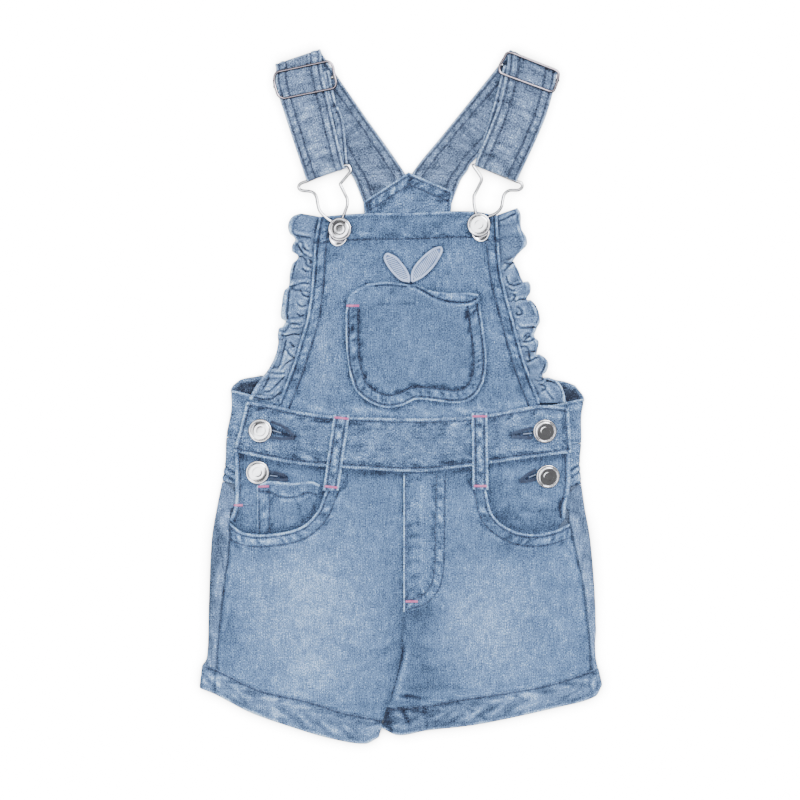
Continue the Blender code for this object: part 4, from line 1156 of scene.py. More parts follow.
class Threads:
    """Many short lengths of one thread, joined in one mesh."""

    SIDES = 6
    RINGS = ((-0.50, -0.55, 0.35), (-0.36, 0.10, 0.9), (0.0, 0.35, 1.0), (0.36, 0.10, 0.9),
        (0.50, -0.55, 0.35))

    def __init__(self, name: str, thread: str) -> None:
        """Start with no stitches."""
        self.name, self.thread = name, thread
        self.points: list[np.ndarray] = []

    def run(self, sheet: Sheet, row: Row, side: float) -> None:
        """Sew a row beside a line.

        Args:
            sheet: the cloth.
            row: where and how it is sewn.
            side: 1 sews on the left of the line, -1 on the right.
        """
        length = row.line.length - row.start - row.end
        count = max(1, int(round(length / row.pitch)))
        places = row.start + (np.arange(count) + 0.5) * length / count
        places = places + mottle(places / 3.1, np.full(count, 0.5), sheet.seed + row.at) * 0.12
        half = length / count * 0.40
        centres = self.beside(row.line, places, row.at * side)
        starts = self.beside(row.line, places - half, row.at * side)
        ends = self.beside(row.line, places + half, row.at * side)
        spots, normals = sheet.spots(centres, row.face)
        tails, heads = sheet.spots(starts, row.face)[0], sheet.spots(ends, row.face)[0]
        self.add(tails, spots, heads, normals, row.thick / 2)

    @staticmethod
    def beside(line: Path, places: np.ndarray, away: float) -> np.ndarray:
        """Points at a distance from a line, positive on its left."""
        share = np.clip(places / line.length, 0.0, 1.0)
        step = 0.4 / line.length
        along = line.at(np.clip(share + step, 0, 1)) - line.at(np.clip(share - step, 0, 1))
        along = along[:, :2] / np.maximum(np.linalg.norm(along[:, :2], axis=1, keepdims=True), 1e-9)
        return line.at(share)[:, :2] + np.stack((-along[:, 1], along[:, 0]), axis=1) * away

    def add(self, tails: np.ndarray, middles: np.ndarray, heads: np.ndarray, normals: np.ndarray,
        radius: float) -> None:
        """Add lengths of thread that dip into the cloth at both ends.

        Args:
            tails: N x 3 starts.
            middles: N x 3 middles.
            heads: N x 3 ends.
            normals: N x 3 directions away from the cloth.
            radius: of the thread.
        """
        along = heads - tails
        along /= np.maximum(np.linalg.norm(along, axis=1, keepdims=True), 1e-9)
        across = np.cross(normals, along)
        across /= np.maximum(np.linalg.norm(across, axis=1, keepdims=True), 1e-9)
        up = np.cross(along, across)
        rings = []
        for share, raised, thick in self.RINGS:
            near = tails if share < 0 else heads
            t = min(1.0, abs(share) * 2.0)
            centre = middles * (1 - t) + near * t + up * raised * radius
            for k in range(self.SIDES):
                angle = 2 * math.pi * k / self.SIDES
                spoke = across * math.cos(angle) + up * math.sin(angle) * 0.8
                rings.append(centre + spoke * radius * thick)
        self.points.append(np.stack(rings, axis=1))

    def build(self, slot: str) -> None:
        """Join the lengths in one mesh and link it."""
        points = np.vstack(self.points)
        sides, rings = self.SIDES, len(self.RINGS)
        cells = []
        for ring in range(rings - 1):
            for k in range(sides):
                a, b = ring * sides + k, ring * sides + (k + 1) % sides
                cells.append((a, b, b + sides, a + sides))
        last = (rings - 1) * sides
        cells += [(0, 3, 2, 1), (0, 5, 4, 3), (last, last + 1, last + 2, last + 3),
                  (last, last + 3, last + 4, last + 5)]
        cells = np.array(cells)[None] + (np.arange(len(points)) * sides * rings)[:, None, None]
        mesh = make_mesh(self.name, points.reshape(-1, 3), cells.reshape(-1, 4))
        add_piece(mesh, self.thread, slot)

    def satin(self, sheet: Sheet, line: Path, width: float, pitch: float, thick: float = 0.45,
              lift: float = 0.1, lean: float = 0.0, face: Face = Face.OUT) -> None:
        """Sew short lengths close together across a line, as in a bar tack or a satin border.

        Args:
            sheet: the cloth.
            line: middle of the border.
            width: length of each stitch.
            pitch: distance between stitches.
            thick: thickness of the thread.
            lift: how far the stitches stand off the cloth.
            lean: how far each stitch leans along the line.
            face: face of the cloth that is sewn.
        """
        count = max(2, int(line.length / pitch))
        places = (np.arange(count) + 0.5) * line.length / count
        tails = self.beside(line, places, -width / 2)
        heads = self.beside(line, np.clip(places + lean, 0, line.length), width / 2)
        middles, normals = sheet.spots((tails + heads) / 2, face)
        lifted = normals * lift
        self.add(sheet.spots(tails, face)[0] + lifted * 0.3, middles + lifted,
                 sheet.spots(heads, face)[0] + lifted * 0.3, normals, thick / 2)


def bar_tacks(name: str, sheet: Sheet, *runs: Rows) -> None:
    """Sew bar tacks in one pink thread, each between two points of the chart."""
    batch = Threads(name, "pink_thread")
    for run in runs:
        batch.satin(sheet, Path(run), 1.7, 0.42, 0.5, 0.25, 0.2)
    batch.build(sheet.slot)


# ---------------------------------------------------------------- legs and hips

@dataclass
class Leg:
    """One leg: front panel, back panel round the side fold, and hem."""

    side: Side
    stitch_rows: tuple[float, float] = (2.3, 8.3)

    def build(self) -> None:
        """Make the leg's pieces."""
        self.front()
        self.back()
        self.hem()

    def front_edges(self) -> tuple[Path, Path, Path, Path]:
        """Top, bottom, centre and side edges of the front panel."""
        mouth = POCKET_MOUTH[self.side]
        x = np.linspace(CENTRE_SEAM[0][0], mouth[0][0], 6)
        waist = np.stack((x, Path(WAIST_BOTTOM).cross(x, 0) + TUCK), axis=1)
        top = Path(waist, np.vstack((waist[-1:], mouth[1:])))
        seam = np.array(SIDE_SEAM[self.side])
        hem = Path(HEM_TOP[self.side]).points - (0.0, TUCK)
        hem = hem[np.abs(hem[:, 0]) < abs(seam[-1, 0])][::-1]
        y = np.linspace(CENTRE_SEAM[0][1], CENTRE_SEAM[-1][1] + 4.0, 12)
        centre = np.stack((Path(CENTRE_SEAM).cross(y, 1), y), axis=1)
        centre = np.vstack((waist[:1], centre[1:], hem[:1]))
        seam[-1] = hem[-1]
        return top, Path(hem, smooth=False), Path(centre), Path(seam)

    def front(self) -> None:
        """Front panel, from the waistband and the pocket mouth down to the hem."""
        side = self.side
        name = f"front_leg_{side.value}"
        top, bottom, centre, seam = self.front_edges()
        sheet = Sheet(name + "_cloth", patch(top, bottom, centre, seam, front_level), CLOTH,
            "panel_denim",
                      "panel_denim", (name,), slack=0.22, slack_size=24.0, seed=3.0 + side.sign)
        mouth = Path(POCKET_MOUTH[side])
        sheet.sew(top_stitch(mouth, self.stitch_rows, 0.24, -0.36, 0.18, 11, 16, 0.5))
        # Painted shadow below the waistband and along the centre seam, and painted shade in the
        # sunk side seam; a roped pale band beside the side seam.
        sheet.marks += [
            Mark(Path(WAIST_BOTTOM), 0.8, 3.2, 0, -0.28, 0.3, 9, seed=4),
            Mark(Path(SIDE_SEAM[side]), 0, 1.2, -0.15, -0.22, 0.4, 6, seed=5),
            Mark(Path(SIDE_SEAM[side]), 3, 2.4, 0.1, 0.05, 1.8, 7, seed=6),
            Mark(centre, 0, 2.6, -0.1, -0.12, 0.3, 8, seed=7),
            Mark(bottom, 1.4, 1.6, 0.05, 0.05, 1.4, 5, seed=8),
        ]
        # Pale areas are wash fades; the thin dark areas just below the waistband, and on the right
        # under the fly's foot and where the legs meet, are painted shadow.
        if side is Side.LEFT:
            sheet.fade(
                (-60, -143, 40, 46, 0.2, 0.04), (-72, -120, 26, 16, 0.05),
                (-66, -192, 30, 22, 0.12), (-104, -122, 12, 34, 0.06), (-2, -170, 12, 52, -0.12),
                (-118, -145, 9, 50, -0.06), (-92, -106, 18, 7, -0.08), (-106, -100, 9, 9, 0.1),
                (-32, -53, 18, 5, -0.1))
            folds = (
                (plan(300, 560, 330, 572, 372, 570, 398, 556), 2.6, 0.1, -0.03),
                (plan(330, 640, 362, 652, 398, 648), 3, 0.1, -0.035),
                (plan(344, 676, 370, 664, 396, 640), 2.2, 0.14, -0.04),
                (plan(250, 566, 262, 600, 258, 640), 3, 0.08, 0.03),
                (plan(340, 600, 368, 604, 400, 590), 2.6, 0.08, -0.03),
            )
        else:
            sheet.fade(
                (58, -158, 34, 44, 0.17, 0.04), (80, -128, 26, 18, 0.06),
                (12, -160, 14, 60, -0.13), (112, -142, 12, 44, 0.06), (76, -104, 22, 8, -0.13),
                (24, -196, 20, 12, -0.07), (26, -57, 26, 6, -0.14), (13, -146, 10, 6, -0.14),
                (94, -96, 22, 5, -0.12), (8, -206, 6, 8, -0.16))
            folds = (
                (plan(410, 640, 440, 652, 470, 640), 2.6, 0.1, -0.03),
                (plan(402, 694, 430, 684, 468, 690, 500, 700), 2.6, 0.2, -0.05),
                (plan(404, 664, 430, 668, 456, 662), 2, 0.12, -0.04),
                # The two sunk dark creases where the legs meet are painted shadow.
                (plan(404, 640, 400, 660, 396, 676, 391, 694, 388, 704), 2.2, -0.3, -0.32),
                (plan(392, 692, 398, 695, 410, 696, 430, 699), 1.3, -0.3, -0.24),
                (plan(560, 566, 556, 600, 566, 650), 3, 0.08, 0.03),
            )
        for k, (line, width, lift, shade) in enumerate(folds):
            sheet.marks.append(Mark(Path(line), 0, width, lift, shade, 0.3, 12, 9, 20 + k))
            sheet.marks.append(Mark(Path(line), width * 1.7, width, -lift * 0.7, -shade * 0.7, 0.3,
                12, 9, 30 + k))
        sheet.make()

    def back(self) -> None:
        """Back panel, round the side fold to the side seam."""
        side, sign = self.side, self.side.sign
        name = f"back_leg_{side.value}"
        top, seam_top = BACK_YOKE_BOTTOM[side] - GAP, SIDE_SEAM[side][0][1]
        low = HEM_TOP[side][0][1] - 1.0
        y = top + (low - top) * spread(top - low, 2.0, 1.0, 6.0)
        hem = rise(y, -120.0, -183.0)
        y_inner = y - hem * 27.0
        seam_x = Path(SIDE_SEAM[side]).cross(y, 1)
        share = rise(y, seam_top + 16.0, seam_top + 7.0)
        front_x = sign * 111.0 * (1 - share) + seam_x * share
        lift = rise(y, seam_top + 8.0, seam_top - 1.0)
        front_z = (STAND_LEVEL + CLOTH / 2) * (1 - lift) + (front_level(seam_x,
            y) + CLOTH / 2) * lift
        slant = YOKE_SLANT * rise(y, seam_top + 6.0, top)
        wrap = Wrap(side, BACK_COLUMNS, 9, spread(14.0, 1.0, 0.8, 3.0)[1:])
        inner = Path(CENTRE_SEAM).cross(y_inner, 1) + sign * 2.0 * GAP
        grid, _ = wrap.grid(y_inner, y, y - slant - hem * 2.0, inner,
            Path(OUTER_FOLD[side]).cross(y, 1),
                            front_x, front_z)
        settle = np.clip((seam_top - 24.0 - y) / (seam_top - 24.0 - low) * 1.5 - 0.5, 0.0, 1.0)[:,
            None] ** 3
        hem_y = Path(HEM_TOP[side]).cross(grid[..., 0], 0) - TUCK
        grid[..., 1] = grid[..., 1] * (1 - settle) + hem_y * settle
        chart = wrap.chart(grid)
        sheet = Sheet(name + "_cloth", grid, CLOTH, "side_denim", "panel_denim", (name,), chart,
            middle=True,
                      slack=0.0, shade=-0.02, seed=13.0 + sign)
        seam = Path(SIDE_SEAM[side])
        # The sunk seam is painted darker: painted shade.
        sheet.marks += [
            Mark(seam, 0.2, 0.7, -0.15, -0.24, 0.3, 3, seed=2),
            Mark(seam, 2, 1, 0.1, 0.1, 0.8, 5, seed=2.5),
            Mark(seam, 4.6, 2, 0.12, 0.06, 1.9, 6.5, seed=3),
            Mark(seam, 8.5, 1.6, 0, -0.1, 0.8, 9, seed=4),
        ]
        if side is Side.LEFT:
            sheet.fade((-122, -103, 7, 9, -0.16), (-121, -80, 8, 9, 0.08))
        else:
            sheet.fade((127, -140, 8, 40, 0.09), (111, -95, 5, 6, -0.26))
        sheet.build()

    def hem(self) -> None:
        """Hem: a band all round the leg, flattened."""
        side = self.side
        name = f"hem_{side.value}"
        top, bottom = Path(HEM_TOP[side]), Path(HEM_BOTTOM[side])
        back_z, front_z = BACK_LEVEL + BAND / 2 + 0.03, FRONT_LEVEL + 0.9 + BAND / 2
        radius = (front_z - back_z) / 2
        grid, chart = [], []
        along = spread(top.length, 1.1, 0.8, 6.0)
        for t in spread(17.0, 0.7, 0.6, 6.0):
            edge = Path(top.at(along) * (1 - t) + bottom.at(along) * t, smooth=False)
            inset = (radius + BAND / 2) / edge.length
            line = edge.at(inset + along * (1 - 2 * inset))
            ends = []
            for end, inner, sign in ((line[-1], line[-3], 1.0), (line[0], line[2], -1.0)):
                out = (end - inner) / np.linalg.norm(end - inner)
                angle = np.pi * np.arange(1, 8) / 8
                z = back_z + radius + sign * radius * np.cos(angle)
                ends.append(np.column_stack((end + out * (radius * np.sin(angle))[:, None], z)))
            flat = np.column_stack((line, np.full(len(line), front_z)))
            under = np.column_stack((line[::-1], np.full(len(line), back_z)))
            ring = np.vstack((flat, ends[0], under, ends[1]))
            step = np.linalg.norm(np.diff(ring, axis=0), axis=1)
            beyond = line[-1, 0] + np.concatenate(([0.0], np.cumsum(step[len(line) - 1:])))
            grid.append(ring)
            chart.append(np.column_stack((np.concatenate((line[:, 0], beyond[1:])), ring[:, 1])))
        grid, chart = np.array(grid), np.array(chart)
        if side is Side.RIGHT:
            chart[:, len(along):, 0] = 2.0 * chart[:, len(along) - 1:len(along), 0] - chart[:,
                len(along):, 0]
        sheet = Sheet(name + "_cloth", grid, BAND, "hem_denim", "band_denim", (name,), chart,
            middle=True,
                      closed=True, slack=0.0, soft_edge=1.4, seed=17.0 + side.sign)
        sheet.sew(top_stitch(top, (1.3,), 0.05, -0.36, 0.14, 3, 2, 2))
        sheet.marks += [
            Mark(bottom, 0.6, 1.1, 0.12, 0.26, 0.7, 4.5, seed=5),
            Mark(bottom, 2.6, 0.9, -0.05, -0.1, 0.8, 5, seed=6),
            Mark(bottom, 7, 4, 0.1, 0.1, 2, 5.5, seed=7),
            Mark(top, 4.5, 2.2, 0.1, 0.08, 2, 4.6, seed=8),
        ]
        if side is Side.LEFT:
            sheet.fade((-70, -214, 30, 12, 0.07))
        else:
            sheet.fade((18, -214, 26, 16, -0.2), (84, -206, 12, 9, 0.14),
                            (112, -202, 16, 12, -0.05))
        for k, (line, width, lift, shade) in enumerate(self.hem_folds()):
            sheet.marks.append(Mark(Path(line), 0, width, lift, shade, 0.2, 9, 1.5, 40 + k))
        sheet.make()

    def hem_folds(self) -> tuple:
        """Seams and creases that cross the hem: line, width, lift and shade. The sunk dark ones are
        painted shade, and the broad dark band where the legs meet is painted shadow.
        """
        if self.side is Side.LEFT:
            return (
                (plan(216, 668, 215, 694), 0.8, -0.2, -0.24),
                (plan(219, 669, 218, 694), 1.1, 0.12, 0.1),
                (plan(290, 697, 296, 722), 1.4, 0.1, 0.06),
                (plan(352, 712, 350, 740), 1.6, 0.12, -0.08),
                (plan(372, 718, 366, 742), 1.6, 0.14, 0.1),
            )
        return (
            (plan(400, 704, 404, 712, 411, 727), 1.2, -0.3, -0.34),
            (plan(387, 704, 386, 718, 392, 733), 3.4, 0, -0.34),
            (plan(424, 704, 427, 728), 1.4, -0.1, -0.14),
            (plan(456, 700, 487, 720), 1.3, -0.2, -0.14),
            (plan(452, 702, 483, 722), 1.5, 0.16, 0.12),
            (plan(596, 671, 597, 691), 0.8, -0.15, -0.2),
            (plan(540, 686, 546, 710), 1.5, 0.1, 0.06),
        )


BACK_COLUMNS = np.arange(0.0, 0.97, 0.045)     # shares across the back


@dataclass(frozen=True)
class Wrap:
    """Grid of a piece that runs across the back, round the side fold and on to the front."""

    side: Side
    back: np.ndarray
    bend: int
    front: np.ndarray

    def grid(self, y_inner: np.ndarray, y_fold: np.ndarray, y_front: np.ndarray,
        inner_x: np.ndarray,
             fold_x: np.ndarray, front_x: np.ndarray, front_z: np.ndarray) -> tuple[np.ndarray,
                 np.ndarray]:
        """Lay the rows.

        Args:
            y_inner: y of each row at the back's inner edge.
            y_fold: y at the side fold.
            y_front: y at the front edge.
            inner_x: x of the back's inner edge.
            fold_x: x of the outer fold.
            front_x: x of the front edge.
            front_z: height of the front run's middle.

        Returns:
            The grid and its chart.
        """
        sign, back_z = self.side.sign, BACK_LEVEL + CLOTH / 2
        y_inner, y_fold, y_front, inner_x, fold_x, front_x, front_z = (
            np.broadcast_to(np.asarray(value, float), np.shape(y_fold))[:, None]
            for value in (y_inner, y_fold, y_front, inner_x, fold_x, front_x, front_z))
        radius = (front_z - back_z) / 2
        bend_x = sign * (np.abs(fold_x) - CLOTH / 2 - radius)
        turn = np.pi * np.arange(self.bend) / (self.bend - 1)
        t, f = self.back[None], self.front[None]
        x = np.hstack((inner_x * (1 - t) + bend_x * t, bend_x + sign * radius * np.sin(turn)[None],
                       bend_x * (1 - f) + front_x * f))
        z = np.hstack((back_z + 0.0 * (y_fold * t), back_z + radius * (1 - np.cos(turn)[None]),
                       front_z + 0.0 * (y_fold * f)))
        s = rise(t, 0.0, 1.0)
        y = np.hstack((y_inner * (1 - s) + y_fold * s, y_fold + 0.0 * turn[None],
            y_fold * (1 - f) + y_front * f))
        grid = np.dstack((x, y, z))
        return grid, self.chart(grid)

    def chart(self, grid: np.ndarray) -> np.ndarray:
        """Chart that agrees with x and y on the front and runs on round the fold."""
        step = np.hypot(np.diff(grid[..., 0], axis=1), np.diff(grid[..., 2], axis=1))
        beyond = np.cumsum(step[:, ::-1], axis=1)[:, ::-1]
        u = grid[:, -1:, 0] + self.side.sign * np.hstack((beyond, np.zeros((len(grid), 1))))
        return np.dstack((u, grid[..., 1]))


@dataclass
class Hip:
    """Pocket facing, back yoke and, on the left, the coin pocket."""

    side: Side

    def build(self) -> None:
        """Make the hip's pieces."""
        self.yoke()
        facing = self.facing()
        if self.side is Side.LEFT:
            self.coin_pocket(facing)

    def yoke(self) -> None:
        """Back yoke: across the hip, round the fold and under the front as the button stand."""
        side, sign = self.side, self.side.sign
        name = f"back_yoke_{side.value}"
        top, bottom = BACK_WAIST_BOTTOM[side] - GAP, BACK_YOKE_BOTTOM[side]
        y = top + (bottom - top) * spread(top - bottom, 1.2, 0.8, 5.0)
        middle = np.interp(y, (bottom, top), (bottom, BACK_WAIST_MIDDLE - GAP))
        wrap = Wrap(side, BACK_COLUMNS, 9, spread(38.0, 1.6, 1.2, 5.0)[1:])
        grid, chart = wrap.grid(middle, y, y - YOKE_SLANT, CENTRE_SEAM[0][0],
                                Path(OUTER_FOLD[side]).cross(y, 1), STAND_END[side],
                                STAND_LEVEL + CLOTH / 2)
        sheet = Sheet(name + "_cloth", grid, CLOTH, "band_denim", "band_denim", (name,), chart,
            middle=True,
                      slack=0.0, shade=0.05, seed=23.0 + sign)
        front = sign * np.array((110.0, 124.0))
        # Creases at the hip: a sunk line painted dark, painted shade, with a raised ridge beside it
        # painted pale, painted highlight.
        for k, drop in enumerate((1.2, 6.4, 12.0) if side is Side.LEFT else (2.0, 9.0, 14.0)):
            line = Path(np.column_stack((front, (bottom + drop - YOKE_SLANT, bottom + drop + 1.0))))
            sheet.marks.append(Mark(line, 0, 0.8, -0.3, -0.38, 0.2, 5, seed=2 + k))
            sheet.marks.append(Mark(line, 1.7, 0.9, 0.3, 0.16, 0.4, 5, seed=5 + k))
        sheet.build()

    def facing(self) -> Sheet:
        """Pocket facing, with the placket's edge on its outer side."""
        side, sign = self.side, self.side.sign
        name = f"pocket_facing_{side.value}"
        edge, mouth = FACING_EDGE[side], POCKET_MOUTH[side]
        x = np.linspace(edge[0][0], FACING_INNER[side], 10)
        top = np.stack((x, Path(WAIST_BOTTOM).cross(x, 0) + TUCK), axis=1)
        outer = Path(np.vstack((top[:1], Path(edge).at(np.linspace(0, 1, 6))[1:])))
        bottom = Path((edge[-1], (sign * 100.0, -98.0), (sign * 84.0, -101.0),
                       (mouth[3][0] - 4.0 * sign, -94.0), (mouth[1][0] - 7.0 * sign, -74.0)))
        inner = Path((top[-1], bottom.points[-1]))
        sheet = Sheet(name + "_cloth", patch(Path(top), bottom, outer, inner, facing_level),
            LIGHT_CLOTH,
                      "pocket_denim", "pocket_denim", (name,), slack=0.12, seed=27.0 + sign,
                      shade=0.05,
                      rests_on=(f"back_yoke_{side.value}_cloth",))
        sheet.sew(top_stitch(outer, (3.4,), 0.3, -0.34, 0.12, 5, 1, 1))
        # Painted shadow under the pocket mouth's edge and under the waistband; a roped band below
        # the mouth.
        sheet.marks += [
            Mark(mouth_path := Path(mouth), 1.5, 3.4, 0, -0.22, 0.2, 8, seed=6),
            Mark(Path(WAIST_BOTTOM), 1, 2.8, 0, -0.26, 0.2, 8, seed=7),
            Mark(mouth_path, 9, 4, 0.08, -0.06, 1.2, 7, seed=8),
        ]
        if side is Side.RIGHT:
            sheet.fade((74, -78, 14, 12, -0.1), (92, -84, 20, 7, -0.06))
            # Creases at the right hip: raised lines painted paler, painted highlight, and sunk
            # lines painted darker, painted shade.
            sheet.marks += [
                Mark(Path(plan(497, 500, 515, 512, 540, 516)), 0, 1.6, 0.15, 0.1, 0.4, 6, 5, 9),
                Mark(Path(plan(520, 492, 540, 500, 560, 498)), 0, 1.6, 0.12, 0.08, 0.4, 6, 5, 10),
                Mark(Path(plan(569, 495, 563, 499, 560, 504, 560, 511, 562, 519)), 0, 0.9, -0.5,
                    -0.34, 0.3, 6, 1.5, 11),
                Mark(Path(plan(566, 503, 556, 500, 546, 501)), 0, 1, -0.3, -0.16, 0.3, 6, 3, 12),
                Mark(Path(plan(559, 511, 548, 509, 536, 512)), 0, 1.1, -0.3, -0.14, 0.3, 6, 3, 13),
                Mark(Path(plan(567, 508, 567, 516, 563, 522)), 0, 1.4, 0.4, 0.14, 0.3, 6, 1, 14),
            ]
        hole = (Buttonhole("left_lower", plan(270, 471.5, 278, 473, 286, 475.5),
            plan(270, 479, 278, 480, 288, 479.5))
                if side is Side.LEFT else
                Buttonhole("right_lower", plan(536, 469.5, 528, 474, 520.5, 479.5),
                    plan(536, 479, 528, 481, 520, 481.5)))
        sheet.marks += hole.marks()
        sheet.make()
        hole.stitch(sheet)
        if side is Side.LEFT:
            bar_tacks(name + "_tack", sheet, plan(234.5, 505, 243, 505))
            batch = Threads(name + "_placket", "navy_thread")
            batch.run(sheet, Row(Path(plan(243, 505, 254.5, 505.5))), 1)
            batch.build("pocket_denim")
        return sheet

    def coin_pocket(self, facing: Sheet) -> None:
        """Make the coin pocket, its foot under the pocket mouth.

        Args:
            facing: the left facing, on which it lies.
        """
        top = Path(COIN_TOP)
        x = np.linspace(COIN_BOTTOM[0][0], COIN_BOTTOM[-1][0], 12)
        foot = np.stack((x, Path(POCKET_MOUTH[Side.LEFT]).cross(x, 0) + 1.0), axis=1)
        left, right = Path((top.points[0], foot[0])), Path((top.points[-1], foot[-1]))
        grid = patch(top, Path(foot), left, right,
                     lambda u, v: facing_level(u, v) + LIGHT_CLOTH + 0.15)
        sheet = Sheet("coin_pocket_cloth", grid, LIGHT_CLOTH, "pocket_denim", "pocket_denim",
            ("coin_pocket",),
                      slack=0.12, shade=0.02, seed=31.0, rests_on=(facing.name,))
        hem = Path(plan(259, 491, 272, 492.5, 279, 496, 294, 497, 308, 492.5, 320, 496))
        sheet.sew(top_stitch(left, (1.6, 8.6), 0.24, -0.3, 0.12, 3))
        sheet.rows.append(Row(hem))
        # A worn pale rim, a sunk hem row painted dark as painted shade, and a pale band.
        sheet.marks += [
            Mark(top, 0.9, 1, 0.2, 0.3, 0.5, 4, seed=2),
            Mark(top, 0.6, 3, 0.45, 0, 1.5, 6, seed=3),
            Mark(Path(plan(264, 497, 266, 515)), 0, 4, 0, 0.12),
            Mark(hem, 0, 0.8, -0.3, -0.34, 0.3, 3, seed=4),
            Mark(hem, 2.2, 1.5, 0.06, 0.1, 2, 2.2, seed=5),
        ]
        # A sunk crease painted dark, painted shade, and painted shadow under the pocket mouth's
        # edge.
        sheet.marks.append(Mark(Path(plan(296, 497, 300, 512, 306, 524)), 0, 1.6, -0.2, -0.16, 0.2,
            6, 3, 4))
        sheet.marks.append(Mark(Path(POCKET_MOUTH[Side.LEFT]), 1.5, 3, 0, -0.22, 0.2, 8, seed=6))
        sheet.make()
        bar_tacks("coin_pocket_tack", sheet, plan(258.5, 486.5, 269, 486))


@dataclass
class Fly:
    """Mock fly on the right front, with a J-shaped double row."""

    foot: float = -146.8

    def build(self) -> None:
        """Make the fly."""
        seam_x = CENTRE_SEAM[0][0] + 0.2
        top_y = float(Path(WAIST_BOTTOM).cross(16.0, 0)) - 1.0
        free = Path(((32.0, top_y), (31.3, -85.0), (30.6, -118.0), (27.0, -132.0), (18.0, -142.0),
                     (seam_x + 3.0, -146.5)))
        straight = Path(((seam_x, top_y), (seam_x, self.foot)))
        top = Path((straight.points[0], free.points[0]))
        bottom = Path((straight.points[-1], free.points[-1]))
        grid = patch(top, bottom, straight, free, lambda x, y: front_level(x, y) + CLOTH + 0.1, 1.0,
            0.6, 9.0)
        sheet = Sheet("fly_cloth", grid, LIGHT_CLOTH * 0.8, "bib_denim", "panel_denim", ("fly",),
            soft_edge=3.0,
                      slack=0.12, slack_size=9.0, seed=37.0, shade=0.07,
                      rests_on=("front_leg_right_cloth",))
        sheet.sew(top_stitch(straight, (1.7,), 0.36, -0.34, 0.12, 2, 0.5, 0.5))
        sheet.sew(top_stitch(free, (1.4, 7.4), 0.04, -0.36, 0.16, 3, 1, 0.5))
        for k, (y, shade) in enumerate(((480, -0.2), (505, 0.08), (524, -0.16), (536, -0.14),
            (547, -0.13),
                                        (562, -0.12), (577, -0.14), (590, -0.12))):
            line = [((x - DRAWING_X) * SQUARE, (DRAWING_Y - y - drop) * SQUARE)
                    for x, drop in ((407, 2), (414, -1), (423, 0))]
            sheet.marks.append(Mark(Path(line), 0, 1.5, 0.12, 1.4 * shade, 0.2, 5, 2, 50 + k))
        # A raised pale line, and painted shadow below the waistband.
        sheet.marks += [
            Mark(Path(plan(421.6, 478, 421.6, 590)), 0, 1, 0.12, 0.1, 0.6, 7, seed=4),
            Mark(Path(WAIST_BOTTOM), 1.2, 2.6, 0, -0.18, 0.2, 8, seed=7),
        ]
        sheet.make()
        bar_tacks("fly_tack", sheet, plan(405.5, 601, 417.6, 601))


# ---------------------------------------------------------------- waist

